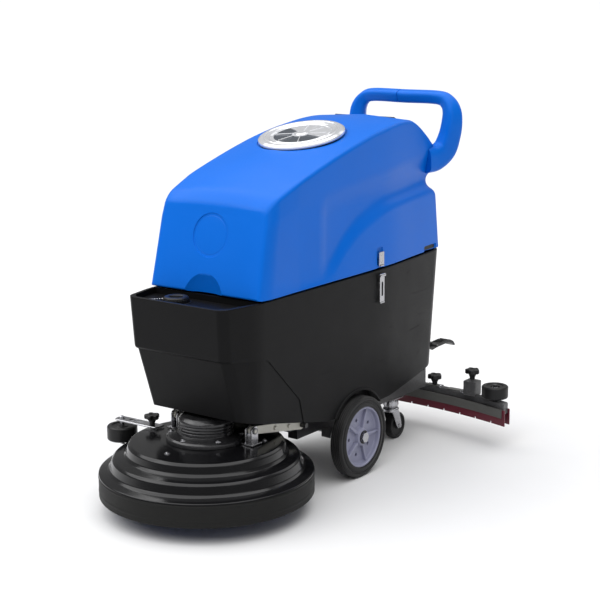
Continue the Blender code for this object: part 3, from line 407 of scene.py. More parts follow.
def soft_profile(points, radius, steps=3):
    """A lathe profile with every corner rounded alike."""
    flat = rounded([(r, h, 0.0) for r, h in points], [radius] * len(points), steps)
    return [(max(point.x, 0.0), point.y) for point in flat]


def tube(name, points, radius, resolution=3, radii=None):
    """A round bar along a route, with filled ends."""
    curve = bpy.data.curves.new(name, "CURVE")
    curve.dimensions = "3D"
    curve.bevel_depth = radius
    curve.bevel_resolution = resolution
    curve.use_fill_caps = True
    spline = curve.splines.new("POLY")
    spline.points.add(len(points) - 1)
    for index, point in enumerate(points):
        spline.points[index].co = (*point, 1.0)
        if radii:
            spline.points[index].radius = radii[index]
    made = bpy.data.objects.new(name, curve)
    bpy.context.scene.collection.objects.link(made)
    return baked(made)


def plate(name, outline, thickness, place=None, bevel=0.0005):
    """A flat outline in the XY plane, thickened evenly, edge-broken and then placed."""
    bm = bmesh.new()
    face = bm.faces.new([bm.verts.new((x, y, -thickness / 2)) for x, y in outline])
    lifted = bmesh.ops.extrude_face_region(bm, geom=[face])
    verts = [item for item in lifted["geom"] if isinstance(item, bmesh.types.BMVert)]
    bmesh.ops.translate(bm, verts=verts, vec=(0, 0, thickness))
    if bevel:
        flat = {face for face in bm.faces if abs(face.normal.z) > 0.9}
        bevel_edges(bm, bevel, 1, lambda edge: any(f in flat for f in edge.link_faces))
    bmesh.ops.transform(bm, matrix=place or Matrix.Identity(4), verts=bm.verts)
    return mesh_object(name, bm)


def side_plate(name, outline, thickness, x, bevel=0.0005):
    """A plate whose outline is drawn in the side view as (y, z), centred on x."""
    return plate(name, outline, thickness, Matrix.Translation((x, 0, 0)) @ SIDE_VIEW, bevel)


def arc(centre, radius, start, end, count):
    """Points of an arc in a plane, angles in degrees."""
    angles = [radians(start + (end - start) * index / (count - 1)) for index in range(count)]
    return [(centre[0] + radius * cos(a), centre[1] + radius * sin(a)) for a in angles]


def skin(name, rings):
    """A closed skin over rings of equal length; each ring starts at its middle line."""
    bm = bmesh.new()
    rows = [[bm.verts.new(point) for point in ring] for ring in rings]
    count = len(rows[0])
    for first, second in zip(rows, rows[1:]):
        for index in range(count):
            after = (index + 1) % count
            bm.faces.new((first[index], first[after], second[after], second[index]))
    half = count // 2
    for row in (rows[0], rows[-1]):
        bm.faces.new((row[0], row[1], row[2], row[-2], row[-1]))
        for index in range(2, half - 2):
            bm.faces.new((row[index], row[index + 1], row[-index - 1], row[-index]))
        bm.faces.new(row[half - 2:half + 3])
    return mesh_object(name, bm)


def mirrored_ring(half):
    """A whole ring from its +X half, whose first and last points lie on the middle plane."""
    return list(half) + [Vector((-p[0], p[1], p[2])) for p in reversed(half[1:-1])]


def combine(obj, others, operation):
    """Works a list of solids into one, removing them afterwards."""
    for other in others:
        modifier = obj.modifiers.new("work", "BOOLEAN")
        modifier.operation = operation
        modifier.solver = "EXACT"
        modifier.object = other
    made = baked(obj)
    for other in others:
        bpy.data.objects.remove(other, do_unlink=True)
    return made


def cut(obj, *cutters):
    return combine(obj, cutters, "DIFFERENCE")


def weld(obj, *others):
    return combine(obj, others, "UNION")


def joined(name, objects):
    """Several separate solids kept as one piece, such as a set of bolts."""
    bm = bmesh.new()
    for obj in objects:
        bm.from_mesh(obj.data)
        bpy.data.objects.remove(obj, do_unlink=True)
    return mesh_object(name, bm)


def eased(value, knots):
    """Smooth reading of a short list of (position, size) knots, without overshoot."""
    if value <= knots[0][0]:
        return knots[0][1]
    slopes = [(b[1] - a[1]) / (b[0] - a[0]) for a, b in zip(knots, knots[1:])]
    pairs = zip(slopes, slopes[1:])
    bends = [slopes[0]] + [2 * s * t / (s + t) if s * t > 0 else 0.0 for s, t in pairs]
    bends.append(slopes[-1])
    for index, ((start, first), (end, second)) in enumerate(zip(knots, knots[1:])):
        if value <= end:
            span = end - start
            t = (value - start) / span
            return (first * (1 + 2 * t) * (1 - t) ** 2 + bends[index] * span * t * (1 - t) ** 2
                    + second * t * t * (3 - 2 * t) + bends[index + 1] * span * t * t * (t - 1))
    return knots[-1][1]


def place_piece(obj, coat, body, slot, nodes=(), sharp=38, weighted=True):
    """Gives a piece its finish and body, and lets it stand for its CAD nodes; its slot is not used.
    """
    obj.data.materials.clear()
    obj.data.materials.append(FINISHES[coat])
    obj.data.shade_smooth()
    obj.data.set_sharp_from_angle(angle=radians(sharp))
    if weighted:
        normals = obj.modifiers.new("even_shading", "WEIGHTED_NORMAL")
        normals.keep_sharp = True
    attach(obj, body)
    if nodes:
        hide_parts(*([nodes] if isinstance(nodes, str) else nodes))
    return obj


def recoat(coat, *nodes):
    """A better finish for CAD nodes that keep their shape."""
    for node in nodes:
        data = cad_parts[node].data
        data.materials.clear()
        data.materials.append(FINISHES[coat])


def hex_bolt(name, centre, axis, across=0.010, height=0.005, washer=0.0, up=1):
    """A chamfered hexagon head, on a washer if one is wanted."""
    half = across / 2
    head = turned(name, [(0.0, height), (half * 0.8, height), (half * 1.15, height * 0.75),
                         (half * 1.15, 0.0), (0.0, 0.0)], steps=6)
    parts = [head]
    if washer:
        parts.append(turned(name + "_washer", soft_profile(
            [(0.0, 0.0015), (washer, 0.0015), (washer, 0.0), (0.0, 0.0)], 0.0004), steps=24))
    made = joined(name, parts)
    flip = Matrix.Rotation(pi, 4, "Y") if up < 0 else Matrix.Identity(4)
    turn = {"X": Matrix.Rotation(pi / 2, 4, "Y"), "Y": Matrix.Rotation(-pi / 2, 4, "X"),
            "Z": Matrix.Identity(4)}[axis]
    made.data.transform(Matrix.Translation(Vector(centre)) @ turn @ flip)
    return made


def smooth_route(points, steps=6):
    """A finer line through the same points; it works for plain numbers too."""
    ends = [2 * points[0] - points[1]] + list(points) + [2 * points[-1] - points[-2]]
    made = []
    for a, b, c, d in zip(ends, ends[1:], ends[2:], ends[3:]):
        for index in range(steps):
            t = index / steps
            made.append(b + (c - a) * (0.5 * t) + (2 * a - 5 * b + 4 * c - d) * (0.5 * t * t)
                        + (3 * b - a - 3 * c + d) * (0.5 * t ** 3))
    return made + [points[-1]]


def lobed(radius, depth, lobes, count=80):
    """Outline of a star knob."""
    return [((radius - depth * (0.5 - 0.5 * cos(lobes * a)) ** 1.5) * cos(a),
             (radius - depth * (0.5 - 0.5 * cos(lobes * a)) ** 1.5) * sin(a))
            for a in (2 * pi * index / count for index in range(count))]


def star_knob(name, place, radius=0.0175, height=0.026, lobes=5):
    """A lobed grip on a tapered neck, with a dimple in its top."""
    grip = plate(name, lobed(radius, radius * 0.24, lobes), height * 0.42,
                 Matrix.Translation((0, 0, height * 0.76)), 0.0022)
    neck = turned(name + "_neck", soft_profile(
        [(0.0, height * 0.6), (radius * 0.62, height * 0.58), (radius * 0.36, height * 0.2),
         (radius * 0.36, 0.0), (0.0, 0.0)], 0.0015), steps=32)
    dimple = turned(name + "_dimple", soft_profile(
        [(0.0, height * 1.1), (radius * 0.38, height * 1.1), (radius * 0.30, height * 0.91),
         (0.0, height * 0.91)], 0.001), steps=32)
    made = cut(weld(grip, neck), dimple)
    made.data.transform(Matrix.Translation(Vector(place)))
    return made


# ---------------------------------------------------------------- recovery tank
BODY_BOTTOM = 0.5675
BAR_Y, BAR_Z, BAR_HALF, BAR_DEEP = 0.5465, 1.004, 0.018, 0.0185
FACE_TOP = 0.787
FACE_LOW_Y, FACE_HIGH_Y = -0.3955, -0.3430
FACE_LEAN = (FACE_HIGH_Y - FACE_LOW_Y) / (FACE_TOP - BODY_BOTTOM)
LID_CENTRE = Vector((0.0, 0.0275, 0.935))
LID_TILT = radians(12.6)
LID_RADIUS = 0.119
PANEL_START = Vector((0.0, 0.3270, 0.9620))
PANEL_END = Vector((0.0, 0.4770, 0.8888))
PANEL_SLOPE = atan2(PANEL_START.z - PANEL_END.z, PANEL_END.y - PANEL_START.y)
BODY_HALF = [(-0.3605, 0.188), (-0.235, 0.184), (0.050, 0.180), (0.190, 0.176),
             (0.380, 0.155), (0.520, 0.140)]
EDGE_HALF = [(-0.300, 0.177), (-0.235, 0.181), (0.000, 0.1795), (0.150, 0.1720),
             (0.325, 0.156), (0.512, 0.132)]
EDGE_HEIGHT = [(-0.300, 0.817), (-0.235, 0.841), (-0.150, 0.8675), (-0.050, 0.896),
               (0.050, 0.921), (0.150, 0.941), (0.300, 0.958), (0.3265, 0.957),
               (0.512, 0.868)]
TOP_HEIGHT = [(-0.290, 0.826), (-0.2625, 0.842), (-0.1625, 0.880), (-0.0625, 0.911),
              (0.0275, 0.933), (0.1375, 0.953), (0.2475, 0.965), (0.3175, 0.967),
              (0.512, 0.872)]
CREASE_HEIGHT = [(-0.2855, 0.763), (-0.2035, 0.776), (-0.1175, 0.794), (-0.0275, 0.807),
                 (0.1625, 0.826), (0.512, 0.858)]
VALLEY_HEIGHT = [(-0.1175, 0.740), (0.0035, 0.758), (0.2725, 0.768), (0.512, 0.784)]
BULGE_HEIGHT = [(-0.1175, 0.580), (-0.0775, 0.594), (-0.010, 0.645), (0.0665, 0.686),
                (0.2295, 0.728), (0.512, 0.742)]
VALLEY_DEPTH = [(-0.120, 0.0), (-0.095, 0.007), (0.100, 0.013), (0.512, 0.016)]
FIRST_STATION, LAST_STATION, STATION_COUNT = -0.235, 0.455, 38


def body_section(y):
    """Half section of the upper body, bottom middle to top middle."""
    half = eased(y, BODY_HALF)
    depth = eased(y, VALLEY_DEPTH)
    top = eased(y, TOP_HEIGHT)
    valley = eased(y, VALLEY_HEIGHT)
    bulge = eased(y, BULGE_HEIGHT)
    foot = min(valley - 0.012, bulge + 0.030)
    return [(0.0, y, BODY_BOTTOM), (half, y, BODY_BOTTOM), (half - 0.004, y, bulge),
            (half - 0.006 - depth, y, foot), (half - 0.006 - depth, y, valley + 0.012),
            (half - 0.006, y, eased(y, CREASE_HEIGHT)),
            (eased(y, EDGE_HALF), y, eased(y, EDGE_HEIGHT)),
            (0.100, y, top - 0.006), (0.0, y, top)]


def front_section(half, slim, high_z, y_low, y_high, crown):
    """Half outline of the front face or of its corner chamfer."""
    points = [(0.0, y_low, BODY_BOTTOM)]
    for z in (BODY_BOTTOM, 0.600, 0.660, 0.700, 0.750):
        share = (z - BODY_BOTTOM) / (high_z - BODY_BOTTOM)
        points.append((half + (slim - half) * share, y_low + (y_high - y_low) * share, z))
    return points + [(slim - 0.006, y_high, high_z), (0.085, y_high, high_z + crown * 0.8),
                     (0.0, y_high, high_z + crown)]


def body_skin(name, grow=0.0):
    """The upper body with rounded long edges, grown or shrunk all round."""
    edge = bpy.context.scene.scrubber_sizes.edge
    front = front_section(0.178, 0.172, FACE_TOP, FACE_LOW_Y, FACE_HIGH_Y, 0.006)
    face = [(x * 0.84, FACE_LOW_Y + (0.675 + (z - 0.675) * 0.80 - BODY_BOTTOM) * FACE_LEAN,
             0.675 + (z - 0.675) * 0.80) for x, _, z in front]
    corner = front_section(0.188, 0.181, 0.8085, -0.3605, -0.3150, 0.014)
    rear = [(0.0, 0.522, BODY_BOTTOM), (0.140, 0.520, BODY_BOTTOM), (0.137, 0.503, 0.735),
            (0.122, 0.472, 0.757), (0.122, 0.472, 0.784), (0.134, 0.505, 0.806),
            (0.130, 0.500, 0.872), (0.100, 0.500, 0.875), (0.0, 0.500, 0.878)]
    tail = [(x * 0.93, y, z + (0.72 - z) * 0.07) for x, y, z in rear]
    span = (LAST_STATION - FIRST_STATION) / (STATION_COUNT - 1)
    halves = [face, front, corner] + [body_section(FIRST_STATION + span * index)
                                      for index in range(STATION_COUNT)] + [rear, tail]
    along_rounding = [0, edge, edge * 1.6] + [0] * STATION_COUNT + [0.010, 0]
    section_rounding = [0, 0.003, 0.014, 0.016, 0.020, 0.012, edge, 0.040, 0]
    rows = []
    for half in halves:
        grown = []
        for index, (x, y, z) in enumerate(half):
            z += -grow if index < 2 else (grow if index > 5 else 0.0)
            grown.append((max(x + grow, 0.0) if x else 0.0, y + (grow if y > 0.05 else -grow), z))
        rows.append(rounded(grown, section_rounding))
    columns = [rounded(column, along_rounding) for column in zip(*rows)]
    return skin(name, [mirrored_ring(row) for row in zip(*columns)])


def lid_place(height):
    """A point on the lid's axis, above or below its rim."""
    return LID_CENTRE + Vector((0.0, -sin(LID_TILT), cos(LID_TILT))) * height


def panel_point(across, down, height):
    """A point on the sloping console: across the machine, down the slope, above its surface."""
    centre = (PANEL_START + PANEL_END) / 2
    return (centre + Vector((across, cos(PANEL_SLOPE) * down, -sin(PANEL_SLOPE) * down))
            + Vector((0.0, sin(PANEL_SLOPE), cos(PANEL_SLOPE))) * height)


def ellipsoid(name, centre, radii):
    bm = bmesh.new()
    bmesh.ops.create_uvsphere(bm, u_segments=48, v_segments=24, radius=1.0)
    bmesh.ops.scale(bm, vec=Vector(radii), verts=bm.verts)
    bmesh.ops.translate(bm, vec=Vector(centre), verts=bm.verts)
    return mesh_object(name, bm)


HANDLE_ROUTE = [          # middle of the grip's section, then its half width and half depth
    ((0.128, 0.4550, 0.829), 0.024, 0.036), ((0.136, 0.4950, 0.833), 0.025, 0.036),
    ((0.148, 0.5280, 0.856), 0.026, 0.034), ((0.159, 0.5370, 0.893), 0.026, 0.030),
    ((0.165, 0.5400, 0.930), 0.025, 0.028), ((0.163, 0.5430, 0.965), 0.023, 0.025),
    ((0.147, 0.5460, 0.991), 0.020, 0.021), ((0.113, BAR_Y, BAR_Z), BAR_HALF, BAR_DEEP)]


def squared_ring(middle, across, deep, half_width, half_depth, count=48):
    """A rounded-square ring about a middle point, in the plane of two directions."""
    ring = []
    for index in range(count):
        turn = 2 * pi * (index + 0.5) / count
        reach = (abs(cos(turn)) ** 3.4 + abs(sin(turn)) ** 3.4) ** (-1 / 3.4)
        ring.append(middle + across * (half_width * reach * cos(turn))
                    + deep * (half_depth * reach * sin(turn)))
    return ring


LATCH_Y, KEEPER_X, LEVER_X = 0.148, 0.1808, 0.1832


def make_recovery_tank():
    """The blue shell with its lid seat, console recess and front hollows."""
    sizes = bpy.context.scene.scrubber_sizes
    tank = body_skin("recovery_tank_shell")
    cavity = cut(body_skin("wet_cavity", -sizes.wall),
                 block("dry_side", (0.40, 0.30, 0.60), (0.0, 0.475, 0.75), 0))
    dry = cut(body_skin("dry_cavity", -sizes.wall),
              block("wet_side", (0.40, 0.90, 0.60), (0.0, -0.119, 0.75), 0))
    tilt = (LID_TILT, 0.0, 0.0)
    seat = rod("lid_seat", LID_RADIUS + 0.004, 0.060, lid_place(0.0175), sides=96, turn=tilt)
    mouth = rod("lid_mouth", 0.094, 0.100, lid_place(-0.030), sides=96, turn=tilt)
    intake = rod("vacuum_intake", 0.045, 0.05, (0.0, 0.415, BODY_BOTTOM), sides=64)
    recess = block("panel_recess", (0.204, 0.164, 0.030), panel_point(0.0, 0.0, 0.012), 0.004,
                   (-PANEL_SLOPE, 0, 0))
    face = Vector((0.0, FACE_LOW_Y + (0.713 - BODY_BOTTOM) * FACE_LEAN, 0.713))
    lean = atan2(FACE_LEAN, 1.0)
    disc = turned("round_recess", [(0.0, 0.02), (sizes.emblem + 0.004, 0.02),
                                   (sizes.emblem + 0.0012, 0.0), (sizes.emblem, -0.0022),
                                   (sizes.emblem - 0.006, -0.0026), (sizes.emblem - 0.008, -0.0014),
                                   (0.0, -0.0014)], face, steps=96, turn=(pi / 2 - lean, 0, 0))
    scoop = ellipsoid("front_scoop", (0.0, -0.405, 0.560), (0.066, 0.030, 0.085))
    cavity = cut(cavity, ellipsoid("scoop_wall", (0.0, -0.405, 0.560), (0.072, 0.036, 0.091)))
    cutters = [cavity, dry, seat, mouth, intake, recess, disc, scoop]
    cutters += [bar(f"side_notch_{side}", (side * 0.1370, 0.4200, 0.560),
                    (side * 0.20, 0.5000, 0.5840), 0.0050) for side in (-1, 1)]
    for side in (-1, 1):
        cutters.append(bar(f"latch_hollow_{side}", (side * 0.1765 - 0.0045, LATCH_Y - 0.015, 0.560),
                           (side * 0.1765 + 0.0045, LATCH_Y + 0.015, 0.625), 0.004))
    tank = cut(tank, *cutters)
    place_piece(tank, "tank_blue", "upper_tank", "blue_plastic", "recovery_tank", 32)
    inserts = [bar(f"notch_insert_{side}", (side * 0.1330, 0.4160, 0.5690),
                   (side * 0.1374, 0.5040, 0.5880)) for side in (-1, 1)]
    place_piece(joined("notch_inserts", inserts), "moulded_black", "upper_tank", "black_plastic")


def make_handle():
    """The push handle, moulded in the tank's blue, with a seam where its halves meet."""
    side = [(Vector(point), width, depth) for point, width, depth in HANDLE_ROUTE]
    stops = side + [(Vector((0.0, BAR_Y, BAR_Z)), BAR_HALF, BAR_DEEP)] + [
        (Vector((-point.x, point.y, point.z)), width, depth) for point, width, depth in side[::-1]]
    points, widths, depths = (smooth_route([stop[index] for stop in stops]) for index in range(3))
    across = Vector((1.0, 0.0, 0.0))
    rings = []
    for index, point in enumerate(points):
        ahead = points[min(index + 1, len(points) - 1)] - points[max(index - 1, 0)]
        ahead.normalize()
        across = (across - ahead * across.dot(ahead)).normalized()
        rings.append(squared_ring(point, across, ahead.cross(across), widths[index],
                                  depths[index]))
    handle = skin("push_handle_bar", rings)
    groove = turned("seam_groove", [(0.0166, 0.0012), (0.03, 0.0012), (0.03, -0.0012),
                                    (0.0166, -0.0012)], (-0.018, BAR_Y, BAR_Z), "X", 48)
    handle = cut(handle, body_skin("handle_seat", 0.0006), groove)
    place_piece(handle, "tank_blue", "upper_tank", "blue_plastic", "push_handle", 45)


def sector(name, inner, outer, start, end, thickness, place, bevel=0.0006):
    outline = arc((0, 0), outer, start, end, 14) + arc((0, 0), inner, end, start, 8)
    return plate(name, outline, thickness, place, bevel)


def make_lid():
    """The bright lid: stepped rim, dark sight windows between ribs, and seal."""
    tilt = (LID_TILT, 0.0, 0.0)
    place = Matrix.Translation(LID_CENTRE) @ Matrix.Rotation(LID_TILT, 4, "X")
    rim = [(0.0, 0.0020), (0.078, 0.0014), (0.0805, -0.0006), (0.0835, -0.0006), (0.086, 0.0030),
           (0.096, 0.0052), (0.099, 0.0034), (0.102, 0.0034), (0.1035, 0.0048), (0.1125, 0.0044),
           (0.1185, 0.0005), (LID_RADIUS, -0.0045), (LID_RADIUS - 0.0012, -0.0080),
           (0.088, -0.0080), (0.088, -0.0195), (0.084, -0.0195), (0.084, -0.0060), (0.0, -0.0060)]
    lid = turned("lid_plate", soft_profile(rim, 0.0007, 2), lid_place(0.0), turn=tilt, steps=128)
    pockets = [sector(f"window_pocket_{index}", 0.026, 0.0760, 150 + 50 * index, 197 + 50 * index,
                      0.006, place @ Matrix.Translation((0, 0, 0.0012)), 0)
               for index in range(4)]
    lid = cut(lid, *pockets)
    place_piece(lid, "lid_silver", "lid", "lid_plastic", "tank_lid", 40)
    panes = [sector(f"pane_{index}", 0.0265, 0.0755, 150.5 + 50 * index, 196.5 + 50 * index,
                    0.0022, place @ Matrix.Translation((0, 0, -0.0004)))
             for index in range(4)]
    place_piece(joined("lid_windows", panes), "lid_window", "lid", "gloss_black")
    ribs = []
    for index in range(5):
        turn = radians(148.5 + 50 * index)
        ribs.append(block(f"lid_rib_{index}", (0.052, 0.0028, 0.0030),
                          place @ Vector((0.048 * cos(turn), 0.048 * sin(turn), 0.0022)), 0.0008,
                          (place.to_3x3() @ Matrix.Rotation(turn, 3, "Z")).to_euler()))
    for index in range(3):
        turn = radians(18 + 46 * index)
        ribs.append(block(f"lid_line_{index}", (0.046, 0.0014, 0.0016),
                          place @ Vector((0.048 * cos(turn), 0.048 * sin(turn), 0.0022)), 0.0004,
                          (place.to_3x3() @ Matrix.Rotation(turn, 3, "Z")).to_euler()))
    ribs.append(turned("lid_boss", soft_profile([(0.0, 0.0052), (0.012, 0.0050), (0.0175, 0.0030),
                                                 (0.0185, 0.0), (0.0, 0.0)], 0.0006),
                       lid_place(0.0), turn=tilt, steps=64))
    place_piece(joined("lid_ribs", ribs), "lid_silver", "lid", "lid_plastic")
    seal = turned("lid_seal", soft_profile([(0.1165, -0.0082), (0.1165, -0.0118), (0.0900, -0.0118),
                                            (0.0900, -0.0082)], 0.0010), lid_place(0.0), turn=tilt,
                  steps=96)
    place_piece(seal, "moulded_black", "lid", "black_rubber")


def make_float():
    """Float valve and suction motor inside the recovery tank."""
    recoat("grey_plastic", "float_cage")
    recoat("signal_red", "float_ball")
    recoat("motor_lacquer", "vacuum_motor")


# ---------------------------------------------------------------- console
def make_console():
    """Sloping panel with key switch, two rockers, charge gauge and a valve knob."""
    slope = (-PANEL_SLOPE, 0.0, 0.0)
    panel = block("console_plate", (0.2032, 0.1632, 0.0048), panel_point(0, 0, 0.0), 0.0012, slope)
    cutters = [block(f"rocker_well_{side}", (0.0224, 0.0304, 0.004),
                     panel_point(side * 0.024, 0.020, 0.0034), 0.0006, slope) for side in (-1, 1)]
    cutters.append(block("gauge_well", (0.090, 0.024, 0.004), panel_point(0, -0.036, 0.0030),
                         0.0010, slope))
    place_piece(cut(panel, *cutters), "moulded_black", "upper_tank", "black_plastic",
                "control_panel")
    trims = []
    for side in (-1, 1):
        frame_ring = cut(block(f"bezel_{side}", (0.0270, 0.0350, 0.0030),
                               panel_point(side * 0.024, 0.020, 0.0032), 0.0010, slope),
                         block(f"bezel_hole_{side}", (0.0214, 0.0294, 0.010),
                               panel_point(side * 0.024, 0.020, 0.0032), 0.0004, slope))
        trims.append(frame_ring)
    trims.append(turned("key_collar", soft_profile([(0.0165, 0.0020), (0.0165, 0.0), (0.0118, 0.0),
                                                    (0.0118, 0.0026)], 0.0004),
                        panel_point(-0.072, 0.020, 0.0024), turn=slope, steps=48))
    trims.append(turned("valve_collar", soft_profile([(0.0225, 0.0018), (0.0225, 0.0),
                                                      (0.0190, 0.0), (0.0190, 0.0020)], 0.0004),
                        panel_point(0.072, 0.020, 0.0024), turn=slope, steps=48))
    place_piece(joined("console_trims", trims), "dark_steel", "upper_tank", "black_plastic")
    glass = block("gauge_glass", (0.088, 0.022, 0.0022), panel_point(0, -0.036, 0.0026), 0.0006,
                  slope)
    place_piece(glass, "lid_window", "upper_tank", "gloss_black")
    lamps = [block(f"lamp_{index}", (0.0080, 0.0070, 0.0012),
                   panel_point(-0.033 + 0.011 * index, -0.036, 0.0040), 0.0004, slope)
             for index in range(7)]
    place_piece(joined("gauge_lamps_low", lamps[:2]), "signal_red", "upper_tank", "signal_red")
    place_piece(joined("gauge_lamps", lamps[2:]), "gauge_green", "upper_tank", "grey_plastic")
    screws = [hex_bolt(f"panel_screw_{x}_{y}", (0, 0, 0), "Z", 0.0060, 0.0018, 0.0040)
              for x in (-1, 1) for y in (-1, 1)]
    for screw, (x, y) in zip(screws, [(x, y) for x in (-1, 1) for y in (-1, 1)]):
        screw.data.transform(Matrix.Translation(panel_point(x * 0.093, y * 0.073, 0.0024))
                             @ Matrix.Rotation(-PANEL_SLOPE, 4, "X"))
    place_piece(joined("panel_screws", screws), "zinc_plate", "upper_tank", "zinc")
    face = 0.0028
    key = weld(turned("key_barrel", soft_profile(
                   [(0.0, 0.008), (0.0095, 0.008), (0.0110, 0.0065), (0.0110, 0.0), (0.0, 0.0)],
                   0.0006), panel_point(-0.072, 0.020, face), turn=slope, steps=48),
               block("key_blade", (0.0026, 0.0080, 0.012), panel_point(-0.072, 0.020, face + 0.012),
                     0.0006, slope),
               turned("key_head", soft_profile(
                   [(0.0, 0.0018), (0.0110, 0.0018), (0.0110, -0.0018), (0.0, -0.0018)], 0.0006),
                   panel_point(-0.072, 0.020, face + 0.0215), steps=40, turn=(0, pi / 2, 0)))
    key = cut(key, rod("key_eye", 0.0032, 0.02, panel_point(-0.072, 0.020, face + 0.0245), "X"))
    place_piece(key, "zinc_plate", "key", "zinc", "key_switch")
    for tag, body, across, coat, slot in (
            ("brush", "brush_rocker", -0.024, "grey_plastic", "grey_plastic"),
            ("vacuum", "vacuum_rocker", 0.024, "signal_red", "signal_red")):
        rocker = block(f"{tag}_rocker_key", (0.0196, 0.0276, 0.0070),
                       panel_point(across, 0.020, face + 0.0056), 0.0016, slope, 3)
        dish = rod(f"{tag}_dish", 0.030, 0.030, panel_point(across, 0.020, face + 0.0372), "X", 96)
        mark = block(f"{tag}_mark", (0.0012, 0.0060, 0.0012),
                     panel_point(across, 0.028, face + 0.0088), 0, slope)
        place_piece(cut(rocker, dish, mark), coat, body, slot, f"{tag}_switch")
    knob = plate("valve_grip", lobed(0.0180, 0.0022, 12, 144), 0.012,
                 Matrix.Translation(panel_point(0.072, 0.020, face + 0.0075))
                 @ Matrix.Rotation(-PANEL_SLOPE, 4, "X"), 0.0012)
    knob = weld(knob, block("valve_bar", (0.0050, 0.0330, 0.0060),
                            panel_point(0.072, 0.020, face + 0.0150), 0.0014, slope),
                turned("valve_skirt", soft_profile([(0.0, 0.002), (0.0182, 0.002), (0.0185, 0.0),
                                                    (0.0, 0.0)], 0.0004),
                       panel_point(0.072, 0.020, face), turn=slope, steps=64))
    place_piece(knob, "moulded_black", "valve", "black_plastic", "valve_knob")


def make_latches():
    """Over-centre latches at the tanks' sides, and the hinge behind."""
    for side, tag in ((1, "left"), (-1, "right")):
        x = side * KEEPER_X
        keeper = weld(bar(f"keeper_{tag}", (x - 0.0022, LATCH_Y - 0.012, 0.5735),
                          (x + 0.0022, LATCH_Y + 0.012, 0.6130),
                          0.0010),
                      bar(f"keeper_hook_{tag}", (x - side * 0.001 - 0.003, LATCH_Y - 0.008, 0.5732),
                          (x + side * 0.002 + 0.003, LATCH_Y + 0.008, 0.5775), 0.0012))
        for z in (0.5850, 0.6040):
            keeper = weld(keeper, turned(f"rivet_{tag}_{z}", soft_profile(
                [(0.0, 0.0016), (0.0022, 0.0013), (0.0032, 0.0), (0.0, 0.0)], 0.0004),
                (x + side * 0.0021, LATCH_Y, z), steps=20, turn=(0, side * pi / 2, 0)))
        place_piece(keeper, "zinc_plate", "upper_tank", "zinc", f"latch_keeper_{tag}")
        x = side * LEVER_X
        lever = weld(bar(f"lever_{tag}", (x - 0.0018, LATCH_Y - 0.0110, 0.4710),
                         (x + 0.0018, LATCH_Y + 0.0110, 0.5520),
                         0.0008),
                     rod(f"barrel_{tag}", 0.0048, 0.026, (side * 0.1842, LATCH_Y, 0.5480), "Y"),
                     bar(f"lever_lip_{tag}", (x - 0.0024, LATCH_Y - 0.0106, 0.4700),
                         (x + 0.0034, LATCH_Y + 0.0106, 0.4740),
                         0.0012))
        lever = cut(lever, bar(f"lever_slot_{tag}", (x - 0.01, LATCH_Y - 0.004, 0.4900),
                               (x + 0.01, LATCH_Y + 0.004, 0.5300), 0.0030))
        place_piece(lever, "zinc_plate", f"latch_{tag}", "zinc", f"latch_lever_{tag}")
    recoat("zinc_plate", "tank_hinge", "hinge_bracket")
    bolts = [hex_bolt(f"hinge_bolt_{x}_{z}", (x, 0.5322 if z < 0.55 else 0.5260, z), "Y", 0.008,
                      0.0035, 0.0055) for x in (-0.050, 0.0, 0.050) for z in (0.512,)]
    place_piece(joined("hinge_bolts", bolts), "zinc_plate", "machine", "zinc")


# ---------------------------------------------------------------- solution tank
TANK_TOP, TANK_FLOOR, TANK_WALL, TANK_STEP = 0.563, 0.187, 0.006, 0.432
TANK_FRONT, TANK_REAR = -0.5095, 0.5285
LEDGE_REAR, LEDGE_TOP = -0.387, 0.548
FILLER = Vector((-0.050, -0.440))
WHEEL_RADIUS, WHEEL_WIDTH, WHEEL_OUTER = 0.1135, 0.039, 0.199
AXLE = Vector((0.0, 0.0415, WHEEL_RADIUS))
PLAN_FRONT_HALF = 0.142
TANK_HALF = [(-0.4925, 0.160), (-0.3975, 0.180), (0.040, 0.180), (0.190, 0.177),
             (0.380, 0.157), (0.500, 0.143)]
TANK_FRONT_LINE = [(0.180, -0.4170), (0.265, -0.4425), (0.426, -0.4925), (TANK_STEP, -0.5000),
                   (TANK_TOP, TANK_FRONT)]
TANK_REAR_LINE = [(0.190, 0.4975), (TANK_TOP, TANK_REAR)]
PLAN_ROUNDING = [0, 0.006, 0.006, 0.030, 0.10, 0.06, 0.08, 0.012, 0.010, 0]


def straight(value, knots):
    """Straight-line reading of a short list of (position, size) knots."""
    value = min(max(value, knots[0][0]), knots[-1][0])
    for (start, first), (end, second) in zip(knots, knots[1:]):
        if value <= end:
            return first + (second - first) * (value - start) / (end - start)


def tank_outline(z, inset=0.0):
    """Half plan of the lower body at a height, from its front middle to its rear middle."""
    narrow = 0.010 * (TANK_TOP - z) / TANK_TOP + inset
    nose = straight(z, TANK_FRONT_LINE) + inset
    tail = straight(z, TANK_REAR_LINE) - inset
    points = [(0.0, nose, z), (PLAN_FRONT_HALF - narrow, nose, z)]
    for y, half in TANK_HALF:
        if y < -0.45:
            y += nose - TANK_FRONT
        elif y > 0.45:
            y += tail - TANK_REAR
        points.append((half - narrow, y, z))
    return rounded(points + [(0.130 - narrow, tail, z), (0.0, tail, z)], PLAN_ROUNDING)


def tank_skin(name, levels, insets, rounding):
    rows = [tank_outline(z, inset) for z, inset in zip(levels, insets)]
    columns = [rounded(column, rounding) for column in zip(*rows)]
    return skin(name, [mirrored_ring(row) for row in zip(*columns)])


def underside(name, lift):
    """Everything below the tank's sloping bottom."""
    outline = [(-0.70, -0.1), (-0.70, 0.3224 + lift), (-0.0925, TANK_FLOOR + lift),
               (0.215, TANK_FLOOR + lift), (0.62, 0.2290 + lift), (0.62, -0.1)]
    return side_plate(name, outline, 0.60, 0.0, 0)


